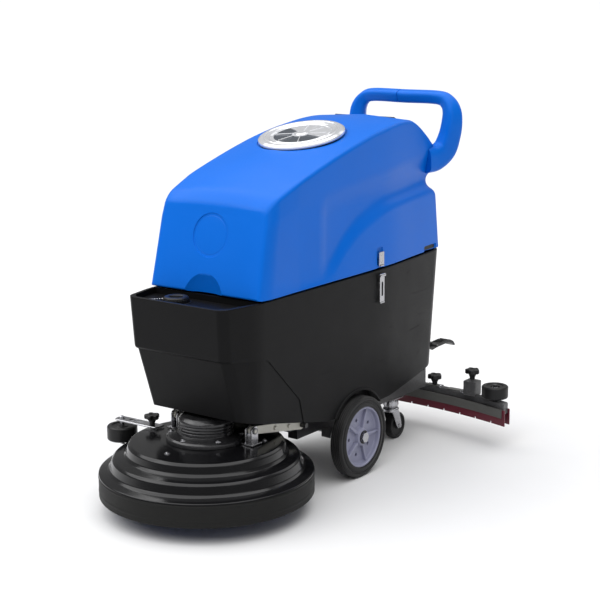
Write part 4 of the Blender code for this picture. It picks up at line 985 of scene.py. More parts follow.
def wheel_arches(tag, grow):
    for side in (-1, 1):
        inner = WHEEL_OUTER - WHEEL_WIDTH - 0.012 - grow
        yield rod(f"arch_{tag}_{side}", WHEEL_RADIUS + 0.014 + grow, 0.10,
                  (side * (inner + 0.05), AXLE.y + 0.004, AXLE.z), "X", 96)


def motor_well(tag, grow):
    return rod(f"motor_well_{tag}", 0.080 + grow, 0.20, (0.0, DECK.y, 0.162 + grow), "Z", 96)


def make_solution_tank():
    """The black shell, its rim, filler ledge, wheel arches and relief lines."""
    tank = tank_skin("solution_tank_shell", [0.180, 0.265, 0.424, TANK_STEP, TANK_TOP, TANK_TOP],
                     [0, 0, 0, 0, 0, 0.005], [0, 0.020, 0.0025, 0.0025, 0.0030, 0])
    lips = [turned(f"arch_lip_{side}", [(0.1275 + 0.0060 * cos(a), 0.0060 * sin(a))
                                        for a in (2 * pi * i / 16 for i in range(16))],
                   (side * 0.1735, AXLE.y + 0.004, AXLE.z), "X", 96) for side in (-1, 1)]
    tank = weld(tank, *lips)
    cavity = cut(tank_skin("tank_cavity", [0.186, 0.265, 0.426, 0.540], [TANK_WALL] * 4, [0] * 4),
                 underside("cavity_floor", TANK_WALL), *wheel_arches("wall", TANK_WALL),
                 motor_well("wall", TANK_WALL))
    mouth = cut(tank_skin("tank_mouth", [0.530, 0.600], [TANK_WALL - 0.001] * 2, [0] * 2),
                bar("ledge_side", (-0.3, -0.7, 0.5), (0.3, LEDGE_REAR + 0.008, 0.7), 0))
    pocket = cut(tank_skin("ledge_pocket", [LEDGE_TOP, 0.600], [0.010] * 2, [0] * 2),
                 bar("mouth_side", (-0.3, LEDGE_REAR, 0.5), (0.3, 0.7, 0.7), 0))
    relief = cut(side_plate("side_relief", [(-0.56, 0.20), (-0.56, 0.4275), (-0.49, 0.4275),
                                            (-0.3625, 0.4140), (-0.350, 0.4050),
                                            (-0.2215, 0.2780), (-0.20, 0.20)], 0.60, 0.0, 0),
                 tank_skin("relief_core", [0.150, 0.265, 0.426, 0.540], [0.0018] * 4, [0] * 4))
    tank = cut(tank, underside("tank_underside", 0.0), *wheel_arches("open", 0.0),
               motor_well("open", 0.0), cavity, mouth, pocket, relief,
               rod("neck_hole", 0.024, 0.06, (*FILLER, LEDGE_TOP), sides=64))
    place_piece(tank, "tank_black", "machine", "black_plastic", "solution_tank", 30)


def make_filler():
    """Filler collar, ribbed cap and the bead chain between them."""
    collar = turned("filler_collar", soft_profile([(0.0400, 0.0014), (0.0410, 0.0), (0.0352, 0.0),
                                                   (0.0356, 0.0016)], 0.0004),
                    (*FILLER, LEDGE_TOP), steps=64)
    place_piece(collar, "moulded_black", "machine", "black_plastic")
    base = LEDGE_TOP + 0.0004
    cap = weld(turned("cap_body", soft_profile(
                   [(0.0, 0.0130), (0.0190, 0.0130), (0.0205, 0.0150), (0.0290, 0.0150),
                    (0.0325, 0.0120), (0.0330, 0.0), (0.0215, 0.0), (0.0215, -0.0100),
                    (0.0, -0.0100)], 0.0010), (*FILLER, base), steps=80),
               plate("cap_ribs", lobed(0.0340, 0.0012, 28, 224), 0.0090,
                     Matrix.Translation((*FILLER, base + 0.0050)), 0.0006))
    grip = block("cap_grip", (0.0340, 0.0055, 0.0060), (*FILLER, base + 0.0135), 0.0016,
                 (0, 0, 0.5))
    place_piece(weld(cap, grip), "moulded_black", "filler_cap", "black_plastic", "fill_cap")
    bead = bpy.context.scene.scrubber_sizes.bead
    start = Vector((-0.122, -0.470, base + 0.0040))
    end = Vector((FILLER.x - 0.0375, FILLER.y, base + 0.0040))
    beads = []
    count = round((end - start).length / (bead * 1.15))
    for index in range(count + 1):
        share = index / count
        point = start.lerp(end, share)
        point.y -= 0.008 * sin(pi * share)
        beads.append(turned(f"bead_{index}", arc_profile(bead / 2), point, steps=12))
    chain = joined("filler_chain", beads)
    chain = place_piece(chain, "zinc_plate", "machine", "zinc", "fill_chain")
    anchor = turned("chain_anchor", soft_profile([(0.0, 0.006), (0.004, 0.005), (0.0055, 0.0),
                                                  (0.0, 0.0)], 0.0006),
                    (start.x - 0.0035, start.y, LEDGE_TOP), steps=24)
    place_piece(anchor, "zinc_plate", "machine", "zinc")


def arc_profile(radius):
    return [(radius * sin(pi * i / 8), radius * cos(pi * i / 8)) for i in range(9)]


# ---------------------------------------------------------------- chassis and wheels
def make_chassis():
    """Painted frame, axle and batteries."""
    recoat("dark_coat", "main_frame")
    recoat("zinc_plate", "axle")
    recoat("grey_plastic", "battery_front", "battery_rear")
    heads = [hex_bolt(f"rail_bolt_{x}_{y}", (x, y, 0.1334), "Z", 0.010, 0.0045, 0.0075, -1)
             for x in (-0.085, 0.085) for y in (-0.110, 0.150, 0.300)]
    place_piece(joined("rail_bolts", heads), "zinc_plate", "machine", "zinc")


def make_wheels():
    """Drive wheels: grooved tyre, dished rim with five ribs, and a dark hub ring."""
    half = WHEEL_WIDTH / 2
    groove = bpy.context.scene.scrubber_sizes.tread
    for side, tag in ((1, "left"), (-1, "right")):
        centre = AXLE + Vector((side * (WHEEL_OUTER - half), 0.0, 0.0))
        face = []
        for place in (-0.0118, -0.0058, 0.0, 0.0058, 0.0118):
            face += [(WHEEL_RADIUS, place + 0.0022), (WHEEL_RADIUS - groove * 0.6, place + 0.0012),
                     (WHEEL_RADIUS - groove * 0.6, place - 0.0012), (WHEEL_RADIUS, place - 0.0022)]
        outline = ([(0.0845, half - 0.001), (0.0880, half), (0.0965, half - 0.0015),
                    (0.0980, half - 0.0035), (0.1010, half - 0.0035), (0.1030, half - 0.0010),
                    (0.1080, half - 0.0012), (WHEEL_RADIUS - 0.0006, half - 0.0060)]
                   + sorted(face, key=lambda p: -p[1])
                   + [(WHEEL_RADIUS - 0.0006, 0.0060 - half), (0.1080, 0.0012 - half),
                      (0.0880, -half), (0.0845, 0.001 - half)])
        tyre = turned(f"{tag}_wheel_tyre", soft_profile(outline, 0.0006, 2), centre, "X", 112)
        place_piece(tyre, "tyre_rubber", f"{tag}_wheel", "black_rubber", f"{tag}_tyre", 30)
        dish = [(0.0840, 0.0170), (0.0840, -0.0170), (0.0800, -0.0165), (0.0765, -0.0060),
                (0.0270, -0.0060), (0.0245, -0.0178), (0.0102, -0.0178), (0.0102, 0.0176),
                (0.0190, 0.0176), (0.0235, 0.0150), (0.0262, 0.0050), (0.0300, 0.0030),
                (0.0730, 0.0030), (0.0772, 0.0060), (0.0782, 0.0150), (0.0800, 0.0172)]
        rim = turned(f"{tag}_wheel_rim", soft_profile(dish, 0.0012, 3), (0, 0, 0), steps=112)
        ribs = []
        for index in range(5):
            turn = 2 * pi * index / 5 + 0.3
            for face_side in (-1, 1):
                rib = [(0.0225, -0.0046), (0.0790, -0.0026), (0.0790, 0.0026), (0.0225, 0.0046)]
                made = plate(f"rib_{index}_{face_side}", rib, 0.0100,
                             Matrix.Rotation(turn, 4, "Z")
                             @ Matrix.Translation((0, 0, 0.0065 * face_side)), 0.0010)
                ribs.append(made)
        rim = weld(rim, *ribs)
        rim = cut(rim, *[rod(f"rim_hole_{index}", 0.0052, 0.05,
                             (0.051 * cos(2 * pi * index / 5 + 0.928),
                              0.051 * sin(2 * pi * index / 5 + 0.928), 0), sides=24)
                         for index in range(5)])
        rim.data.transform(Matrix.Translation(centre) @ Matrix.Rotation(side * pi / 2, 4, "Y"))
        place_piece(rim, "rim_plastic", f"{tag}_wheel", "rim_plastic", f"{tag}_rim", 35)
        ring = turned(f"{tag}_hub_ring", soft_profile([(0.0188, 0.0176), (0.0188, 0.0190),
                                                       (0.0145, 0.0190), (0.0145, 0.0176)],
                                                      0.0004), steps=48)
        ring.data.transform(Matrix.Translation(centre) @ Matrix.Rotation(side * pi / 2, 4, "Y"))
        place_piece(ring, "moulded_black", f"{tag}_wheel", "black_plastic")


def make_casters():
    """Small swivel wheels with stamped forks."""
    recoat("zinc_plate", "left_caster_plate", "right_caster_plate")
    for side, tag in ((1, "left"), (-1, "right")):
        x, y = side * 0.072, 0.370
        hub = Vector((x, y + 0.022, 0.040))
        crown = turned(f"{tag}_fork_crown", soft_profile(
            [(0.0, 0.1000), (0.0200, 0.1000), (0.0240, 0.0965), (0.0240, 0.0885), (0.0, 0.0885)],
            0.0014), (x, y, 0.0), steps=48)
        parts = []
        for cheek in (-1, 1):
            outline = [(y - 0.016, 0.0900), (y + 0.018, 0.0900), (y + 0.033, 0.0440),
                       (y + 0.028, 0.0320), (y + 0.016, 0.0320), (y + 0.006, 0.0440)]
            outline = [tuple(p)[:2] for p in rounded([(a, b, 0.0) for a, b in outline],
                                                     [0, 0.004, 0.006, 0.006, 0.006, 0.006])]
            parts.append(side_plate(f"{tag}_leg_{cheek}", outline, 0.0030, x + cheek * 0.0165,
                                    0.0006))
            parts.append(turned(f"{tag}_nut_{cheek}", soft_profile(
                [(0.0, 0.0034), (0.0060, 0.0034), (0.0068, 0.0), (0.0, 0.0)], 0.0006),
                hub + Vector((cheek * 0.0178, 0, 0)), steps=6, turn=(0, cheek * pi / 2, 0)))
        parts.append(rod(f"{tag}_pin", 0.0045, 0.0410, hub, "X", 24))
        place_piece(weld(crown, *parts), "zinc_plate", f"{tag}_caster", "zinc",
                    f"{tag}_caster_fork")
        wheel = [(0.0400, 0.0080), (0.0400, -0.0080), (0.0380, -0.0118), (0.0330, -0.0128),
                 (0.0310, -0.0090), (0.0130, -0.0090), (0.0115, -0.0130), (0.0050, -0.0130),
                 (0.0050, 0.0130), (0.0115, 0.0130), (0.0130, 0.0090), (0.0310, 0.0090),
                 (0.0330, 0.0128), (0.0380, 0.0118)]
        made = turned(f"{tag}_small_wheel", soft_profile(wheel, 0.0012), hub, "X", 72)
        place_piece(made, "tyre_rubber", f"{tag}_caster_roll", "black_rubber",
                    f"{tag}_caster_wheel")


# ---------------------------------------------------------------- brush deck
DECK_FOOT, DECK_PLATE = 0.045, 0.186
DECK = Vector((0.0, -0.3925, 0.0))
ARM_X = 0.125
ARM_PIVOT = Vector((0.0, -0.1525, 0.1855))
ARM_PIN = Vector((0.0, -0.3625, 0.2220))
ROLLER = Vector((-0.292, -0.398, 0.152))


def on_deck(radius, degrees, z):
    return (DECK.x + radius * cos(radians(degrees)), DECK.y + radius * sin(radians(degrees)), z)


def make_deck():
    """Stepped glossy cover and its rubber skirt with a raised retaining band."""
    skirt = turned("skirt_band", soft_profile(
        [(0.2785, 0.1030), (0.2800, 0.1000), (0.2800, 0.0980), (0.2790, 0.0965),
         (0.2790, 0.0660), (0.2797, 0.0640), (0.2797, 0.0600), (0.2790, 0.0580),
         (0.2794, 0.0475), (0.2778, DECK_FOOT), (0.2725, DECK_FOOT), (0.2720, 0.1030)], 0.0008),
        DECK, steps=160)
    place_piece(skirt, "skirt_rubber", "deck", "black_rubber", "deck_skirt", 30)
    outer = [(0.2795, 0.1034), (0.2785, 0.1075), (0.2560, 0.1135), (0.2490, 0.1185),
             (0.2440, 0.1400), (0.2385, 0.1450), (0.2130, 0.1515), (0.2070, 0.1580),
             (0.2030, 0.1765), (0.1960, 0.1825)]
    top = [(0.1200, 0.1856), (0.1170, DECK_PLATE), (0.0200, DECK_PLATE), (0.0200, 0.1810)]
    inner = [(0.1905, 0.1775), (0.2005, 0.1510), (0.2350, 0.1370), (0.2390, 0.1130),
             (0.2640, 0.1034)]
    cover = turned("deck_shell", soft_profile(outer + top + inner, 0.0020), DECK, steps=160)
    place_piece(cover, "deck_gloss", "deck", "gloss_black", "deck_cover", 30)
    screws = []
    for degrees in (30, 150, 270):
        screws.append(hex_bolt(f"deck_screw_{degrees}", on_deck(0.151, degrees, 0.1842), "Z",
                               0.0095, 0.0042, 0.0080))
    place_piece(joined("deck_screws", screws), "zinc_plate", "deck", "zinc")


def make_brush_drive():
    """Brush motor with its flange, disc, and tufted bristles."""
    base = DECK_PLATE + 0.0004
    profile = [(0.0, 0.254), (0.050, 0.254), (0.062, 0.2515), (0.0660, 0.2480),
               (0.0700, 0.2440), (0.0720, 0.2400)]
    for z in (0.2320, 0.2240, 0.2160):
        profile += [(0.0720, z + 0.0018), (0.0704, z + 0.0010), (0.0704, z - 0.0010),
                    (0.0720, z - 0.0018)]
    profile += [(0.0720, 0.206), (0.0980, 0.2005), (0.1030, 0.1965), (0.1040, base),
                (0.0160, base), (0.0160, 0.200), (0.0, 0.200)]
    motor = turned("motor_shell", soft_profile(profile, 0.0010), DECK, steps=96)
    place_piece(motor, "motor_lacquer", "deck", "motor_metal", "brush_motor", 32)
    bolts = [hex_bolt(f"flange_bolt_{degrees}", on_deck(0.0900, degrees, 0.2014), "Z", 0.010,
                      0.0050, 0.0080) for degrees in (30, 90, 150, 210, 270, 330)]
    place_piece(joined("flange_bolts", bolts), "zinc_plate", "deck", "zinc")
    recoat("grey_plastic", "brush_disc")
    ring = turned("bristle_block", soft_profile([(0.2480, 0.0776), (0.2490, 0.0720),
                                                 (0.1080, 0.0720), (0.1100, 0.0776)], 0.0008),
                  DECK, steps=96)
    bm = bmesh.new()
    bm.from_mesh(ring.data)
    bpy.data.objects.remove(ring, do_unlink=True)
    for row, (radius, splay) in enumerate(((0.118, -0.006), (0.138, -0.003), (0.160, 0.0),
                                           (0.182, 0.0), (0.204, 0.001), (0.224, 0.003),
                                           (0.2400, 0.0085))):
        count = round(2 * pi * radius / 0.0165)
        for index in range(count):
            turn = 2 * pi * (index + 0.5 * (row % 2)) / count
            foot = Vector((cos(turn), sin(turn), 0.0))
            top = bmesh.ops.create_cone(bm, cap_ends=True, segments=6, radius1=0.0066,
                                        radius2=0.0040, depth=0.0270)["verts"]
            lean = Matrix.Shear("XY", 4, (splay / 0.027 * -foot.x, splay / 0.027 * -foot.y))
            place = Matrix.Translation(DECK + foot * (radius + splay * 0.5)
                                       + Vector((0, 0, 0.0605))) @ lean
            bmesh.ops.transform(bm, matrix=place, verts=top)
    place_piece(mesh_object("bristle_tufts", bm), "nylon_bristle", "brush", "bristle",
                "brush_bristles", 60)


def make_lift_arms():
    """Cream lift arms with their cross tube, and the clevises on the deck."""
    run, rise = ARM_PIN.y - ARM_PIVOT.y, ARM_PIN.z - ARM_PIVOT.z
    length, turn = hypot(run, rise), atan2(rise, run)
    shape = arc((0.0, 0.0), 0.0130, 90, 270, 17) + arc((length, 0.0), 0.0105, -90, 90, 17)
    outline = [(ARM_PIVOT.y + u * cos(turn) - v * sin(turn),
                ARM_PIVOT.z + u * sin(turn) + v * cos(turn)) for u, v in shape]
    cross = rod("arm_cross_tube", 0.0080, 0.2480, ARM_PIVOT.lerp(ARM_PIN, 0.27), "X", 40)
    for side in (-1, 1):
        arm = side_plate(f"arm_{side}", outline, 0.0060, side * ARM_X, 0.0008)
        pins = [rod(f"arm_pin_{side}", 0.0050, 0.0300, ARM_PIN + Vector((side * ARM_X, 0, 0)),
                    "X", 24)]
        for share in (0.27, 0.55):
            pins.append(turned(f"arm_boss_{side}_{share}", soft_profile(
                [(0.0, 0.0060), (0.0050, 0.0060), (0.0062, 0.0), (0.0, 0.0)], 0.0006),
                ARM_PIVOT.lerp(ARM_PIN, share) + Vector((side * (ARM_X + 0.0018), 0, 0)),
                steps=24, turn=(0, side * pi / 2, 0)))
        cross = weld(cross, arm, *pins)
        cross = cut(cross, rod(f"arm_bore_{side}", 0.0074, 0.02,
                               ARM_PIVOT + Vector((side * ARM_X, 0, 0)), "X", 32))
    place_piece(cross, "cream_coat", "arms", "cream_paint", "lift_arms")
    base = DECK_PLATE + 0.0004
    for side, tag in ((1, "left"), (-1, "right")):
        x = side * ARM_X
        foot = bar(f"clevis_foot_{tag}", (x - 0.019, ARM_PIN.y - 0.020, base),
                   (x + 0.019, ARM_PIN.y + 0.020, base + 0.004), 0.0010)
        cheeks = []
        for cheek in (-1, 1):
            flat = (arc((ARM_PIN.y, ARM_PIN.z - 0.001), 0.0125, 0, 180, 17)
                    + [(ARM_PIN.y - 0.0130, base), (ARM_PIN.y + 0.0130, base)])
            cheeks.append(side_plate(f"cheek_{tag}_{cheek}", flat, 0.0040, x + cheek * 0.0095,
                                     0.0006))
        bore = rod(f"clevis_bore_{tag}", 0.0055, 0.06, ARM_PIN + Vector((x, 0, 0)), "X", 24)
        place_piece(cut(weld(foot, *cheeks), bore), "zinc_plate", "deck", "zinc",
                    f"clevis_{tag}")
        bolts = [hex_bolt(f"clevis_bolt_{tag}_{end}", (x + end * 0.0150, ARM_PIN.y - 0.0155 * end,
                                                       base + 0.0040), "Z", 0.0070, 0.0040)
                 for end in (-1, 1)]
        place_piece(joined(f"clevis_bolts_{tag}", bolts), "zinc_plate", "deck", "zinc")
        clip = turned(f"pin_clip_{tag}", soft_profile(
            [(0.0085, 0.0010), (0.0085, -0.0010), (0.0051, -0.0010), (0.0051, 0.0010)], 0.0003),
            ARM_PIN + Vector((x + side * 0.0132, 0, 0)), "X", 32)
        place_piece(clip, "dark_steel", "arms", "zinc")


def make_bumper():
    """Wall roller on its bracket, with the star knob that clamps it."""
    base = DECK_PLATE + 0.0004
    reach = ROLLER - DECK
    turn = atan2(reach.y, reach.x)
    ends = rounded([(-0.075, -0.017, 0), (0.075, -0.017, 0), (0.075, 0.017, 0), (-0.075, 0.017, 0),
                    (-0.075, -0.017, 0)], [0, 0.012, 0.012, 0.012, 0])[:-1]
    arm = plate("bumper_strap", [tuple(p)[:2] for p in ends], 0.0045,
                Matrix.Translation((ROLLER.x - 0.060 * cos(turn), ROLLER.y - 0.060 * sin(turn),
                                    base + 0.00225)) @ Matrix.Rotation(turn, 4, "Z"), 0.0008)
    pin = rod("bumper_pin", 0.0060, 0.0760, (ROLLER.x, ROLLER.y, base - 0.0300), sides=32)
    slot = block("strap_slot", (0.046, 0.0090, 0.02),
                 (ROLLER.x + 0.050, ROLLER.y + 0.002, base), 0.0020, (0, 0, turn))
    place_piece(cut(weld(arm, pin), slot), "zinc_plate", "deck", "dark_paint", "bumper_arm")
    roller = turned("wall_roller", soft_profile(
        [(0.0375, 0.0200), (0.0410, 0.0165), (0.0410, -0.0165), (0.0375, -0.0200),
         (0.0064, -0.0200), (0.0064, 0.0185), (0.0150, 0.0185), (0.0165, 0.0165),
         (0.0270, 0.0165), (0.0290, 0.0200)], 0.0014), ROLLER, steps=96)
    place_piece(roller, "tyre_rubber", "bumper", "black_plastic", "bumper_roller")
    washer = turned("roller_washer", soft_profile([(0.0130, 0.0014), (0.0130, 0.0), (0.0062, 0.0),
                                                   (0.0062, 0.0014)], 0.0003),
                    ROLLER + Vector((0, 0, -0.0216)), steps=40)
    nut = hex_bolt("roller_nut", (ROLLER.x, ROLLER.y, base + 0.0045), "Z", 0.0110, 0.0060, 0.0090)
    place_piece(joined("roller_fixings", [washer, nut]), "zinc_plate", "deck", "zinc")
    knob = star_knob("clamp_knob", (-0.184, ROLLER.y + 0.002, base + 0.0049), 0.0210, 0.0290)
    place_piece(knob, "moulded_black", "bumper_clamp", "black_plastic", "bumper_knob")


# ---------------------------------------------------------------- squeegee
BLADE_HALF, BLADE_RADIUS, BLADE_BACK = 0.383, 1.40, 0.5860
BLADE_FOOT, BEAM_TOP = 0.060, 0.128
BOW_CENTRE = BLADE_BACK - BLADE_RADIUS
SWIVEL = Vector((0.0, 0.5360, 0.1400))
END_ROLLER = Vector((0.331, 0.534, 0.152))
INNER_KNOB, OUTER_KNOB, BRACKET_TOP = 0.105, 0.246, 0.170


def bow_point(x, radius):
    return Vector((x, BOW_CENTRE + (radius ** 2 - x ** 2) ** 0.5, 0.0))


def bow(name, inner, outer, bottom, top, half=BLADE_HALF, count=49, bevel=0.0008):
    """A strip that follows the squeegee's bow, between two plan radii and two heights."""
    places = [half * (2 * index / (count - 1) - 1) for index in range(count)]
    outline = [tuple(bow_point(x, outer).xy) for x in places]
    outline += [tuple(bow_point(x, inner).xy) for x in reversed(places)]
    return plate(name, outline, top - bottom, Matrix.Translation((0, 0, (bottom + top) / 2)), bevel)


def make_squeegee_arm():
    """Folded trailing arm that carries the squeegee."""
    outline = [(0.240, 0.112), (0.262, 0.112), (0.288, 0.1362), (0.550, 0.1362), (0.550, 0.1440),
               (0.277, 0.1440), (0.240, 0.137)]
    arm = weld(side_plate("trailing_arm", outline, 0.0440, 0.0, 0.0012),
               rod("arm_cross", 0.0060, 0.0840, (0.0, 0.250, 0.124), "X", 32),
               rod("swivel_stud", 0.0060, 0.0300, (SWIVEL.x, SWIVEL.y, 0.1270), sides=32),
               hex_bolt("stud_nut", (SWIVEL.x, SWIVEL.y, 0.1436), "Z", 0.0130, 0.0070, 0.0100))
    place_piece(arm, "dark_coat", "squeegee_carrier", "dark_paint", "squeegee_arm")


def make_squeegee():
    """Bowed beam, notched maroon blades, clamp strips, hose spigot, knobs and end rollers."""
    inner, outer = BLADE_RADIUS - 0.0280, BLADE_RADIUS - 0.0040
    beam = bow("squeegee_body", inner, outer, 0.0930, BEAM_TOP, BLADE_HALF - 0.006, 49, 0.0025)
    parts = [bar("swivel_plate", (-0.036, 0.5160, BEAM_TOP - 0.004),
                 (0.036, 0.5600, BEAM_TOP + 0.0045), 0.0015)]
    for side in (-1, 1):
        box = bow_point(side * OUTER_KNOB, (inner + outer) / 2)
        parts += [bar(f"roller_bracket_{side}", (box.x - 0.021, box.y - 0.019, BEAM_TOP - 0.003),
                      (box.x + 0.021, box.y + 0.019, BRACKET_TOP), 0.0035),
                  rod(f"roller_stud_{side}", 0.0060, 0.0480,
                      (side * END_ROLLER.x, END_ROLLER.y, 0.1490), sides=32)]
    beam = cut(weld(beam, *parts), rod("swivel_bore", 0.0064, 0.05, (SWIVEL.x, SWIVEL.y, 0.127)))
    place_piece(beam, "dark_coat", "squeegee", "dark_paint", "squeegee_beam")
    rear = bow("rear_strip", outer + 0.0004, BLADE_RADIUS - 0.0004, BLADE_FOOT, 0.1080)
    front = bow("front_strip", inner - 0.0040, inner - 0.0004, BLADE_FOOT, 0.1080)
    notches = [bar(f"notch_{index}", (-0.330 + 0.060 * index - 0.0022, 0.40, 0.050),
                   (-0.330 + 0.060 * index + 0.0022, 0.560, 0.0660), 0.0008)
               for index in range(12)]
    place_piece(cut(front, joined("notches", notches)), "maroon_rubber", "squeegee",
                "maroon_rubber", "front_blade")
    place_piece(rear, "maroon_rubber", "squeegee", "maroon_rubber", "rear_blade")
    place_piece(bow("rear_band", BLADE_RADIUS, BLADE_RADIUS + 0.0020, 0.0860, 0.1040,
                    BLADE_HALF - 0.010), "zinc_plate", "squeegee", "zinc", "rear_clamp")
    place_piece(bow("front_band", inner - 0.0064, inner - 0.0044, 0.0830, 0.1100,
                    BLADE_HALF - 0.010), "grey_strip", "squeegee", "grey_plastic", "front_clamp")
    bolts = []
    for index in range(9):
        x = -0.320 + 0.080 * index
        spot = bow_point(x, BLADE_RADIUS + 0.0020)
        bolts.append(hex_bolt(f"rear_bolt_{index}", (0, 0, 0), "Y", 0.0080, 0.0030))
        bolts[-1].data.transform(Matrix.Translation((spot.x, spot.y, 0.0950))
                                 @ Matrix.Rotation(-x / BLADE_RADIUS, 4, "Z"))
    for index in range(8):
        x = -0.300 + 0.0857 * index
        spot = bow_point(x, (inner + outer) / 2)
        bolts.append(hex_bolt(f"top_nut_{index}", (spot.x, spot.y - 0.006, BEAM_TOP), "Z", 0.0100,
                              0.0060, 0.0080))
    place_piece(joined("squeegee_bolts", bolts), "zinc_plate", "squeegee", "zinc")
    tabs = []
    for side in (-1, 1):
        for where in (0.105, 0.185):
            spot = bow_point(side * where, (inner + outer) / 2)
            tabs.append(bar(f"tab_{side}_{where}", (spot.x - 0.026, spot.y - 0.010, BEAM_TOP),
                            (spot.x + 0.026, spot.y + 0.011, BEAM_TOP + 0.0024), 0.0008))
    place_piece(joined("knob_plates", tabs), "grey_strip", "squeegee", "grey_plastic")
    spigot = turned("hose_spigot", soft_profile(
        [(0.0150, 0.046), (0.0172, 0.044), (0.0176, 0.040), (0.0166, 0.039), (0.0174, 0.034),
         (0.0164, 0.033), (0.0172, 0.028), (0.0162, 0.027), (0.0162, 0.006), (0.0200, 0.004),
         (0.0200, 0.0), (0.0130, 0.0), (0.0130, 0.046)], 0.0006),
        (0.0, 0.5806, BEAM_TOP + 0.0004), steps=72)
    place_piece(spigot, "moulded_black", "squeegee", "black_plastic", "suction_spigot")
    for side, tag in ((1, "left"), (-1, "right")):
        for place, where, seat in (("inner", INNER_KNOB, BEAM_TOP),
                                   ("outer", OUTER_KNOB, BRACKET_TOP)):
            spot = bow_point(side * where, (inner + outer) / 2)
            knob = star_knob(f"{place}_grip_{tag}", (spot.x, spot.y, seat + 0.0030), 0.0220,
                             0.0325)
            place_piece(knob, "moulded_black", f"{place}_clamp_{tag}", "black_plastic",
                        f"{place}_knob_{tag}")
        centre = (side * END_ROLLER.x, END_ROLLER.y, END_ROLLER.z)
        roller = turned(f"corner_roller_{tag}", soft_profile(
            [(0.0360, 0.0180), (0.0390, 0.0150), (0.0390, -0.0150), (0.0360, -0.0180),
             (0.0064, -0.0180), (0.0064, 0.0110), (0.0125, 0.0110), (0.0145, 0.0150),
             (0.0240, 0.0150), (0.0260, 0.0180)], 0.0014), centre, steps=96)
        place_piece(roller, "tyre_rubber", f"end_wheel_{tag}", "black_plastic",
                    f"end_roller_{tag}")
        cap = hex_bolt(f"corner_bolt_{tag}", (centre[0], centre[1], 0.1640), "Z", 0.0105, 0.0060,
                       0.0085)
        place_piece(cap, "zinc_plate", "squeegee", "zinc")


# ---------------------------------------------------------------- rear controls
def make_rear_controls():
    """Deck pedal with a ribbed pad, and the squeegee's hand lever."""
    pin = Vector((0.096, 0.5340, 0.2620))
    top = [(0.540, 0.2625), (0.560, 0.2600), (0.590, 0.2585), (0.620, 0.2600), (0.645, 0.2565),
           (0.662, 0.2490), (0.6725, 0.2385)]
    bottom = [(0.6705, 0.2330), (0.655, 0.2420), (0.635, 0.2480), (0.610, 0.2490),
              (0.580, 0.2480), (0.540, 0.2530)]
    pedal = weld(side_plate("pedal_pad", top + bottom, 0.0330, pin.x, 0.0020),
                 rod("pedal_barrel", 0.0095, 0.0340, pin, "X", 40),
                 side_plate("pedal_web", [(0.540, 0.256), (0.632, 0.249), (0.560, 0.2385),
                                          (0.538, 0.2500)], 0.0080, pin.x, 0.0010))
    ribs = [bar(f"pedal_rib_{index}", (pin.x - 0.0125, 0.588 + 0.0095 * index, 0.2570),
                (pin.x + 0.0125, 0.5915 + 0.0095 * index, 0.2608), 0.0008) for index in range(5)]
    pedal = cut(weld(pedal, *ribs), rod("pedal_bore", 0.0054, 0.06, pin, "X", 32))
    place_piece(pedal, "moulded_black", "pedal", "black_plastic", "deck_pedal")
    side = Vector((-0.096, 0.5340, 0.2620))
    route = smooth_route([Vector((side.x, y, z)) for y, z in
                          ((0.5420, 0.262), (0.5560, 0.300), (0.5580, 0.400), (0.5600, 0.480))])
    lever = weld(rod("lever_barrel", 0.0095, 0.0340, side, "X", 40),
                 tube("lever_stalk", route, 0.0050, 5),
                 turned("lever_ball", soft_profile(
                     [(0.0, 0.022), (0.0095, 0.0205), (0.0140, 0.011), (0.0140, -0.006),
                      (0.0085, -0.020), (0.0, -0.022)], 0.0040),
                     (side.x, 0.5600, 0.498), steps=48))
    lever = cut(lever, rod("lever_bore", 0.0054, 0.06, side, "X", 32))
    place_piece(lever, "moulded_black", "hand_lever", "black_plastic", "squeegee_lever")


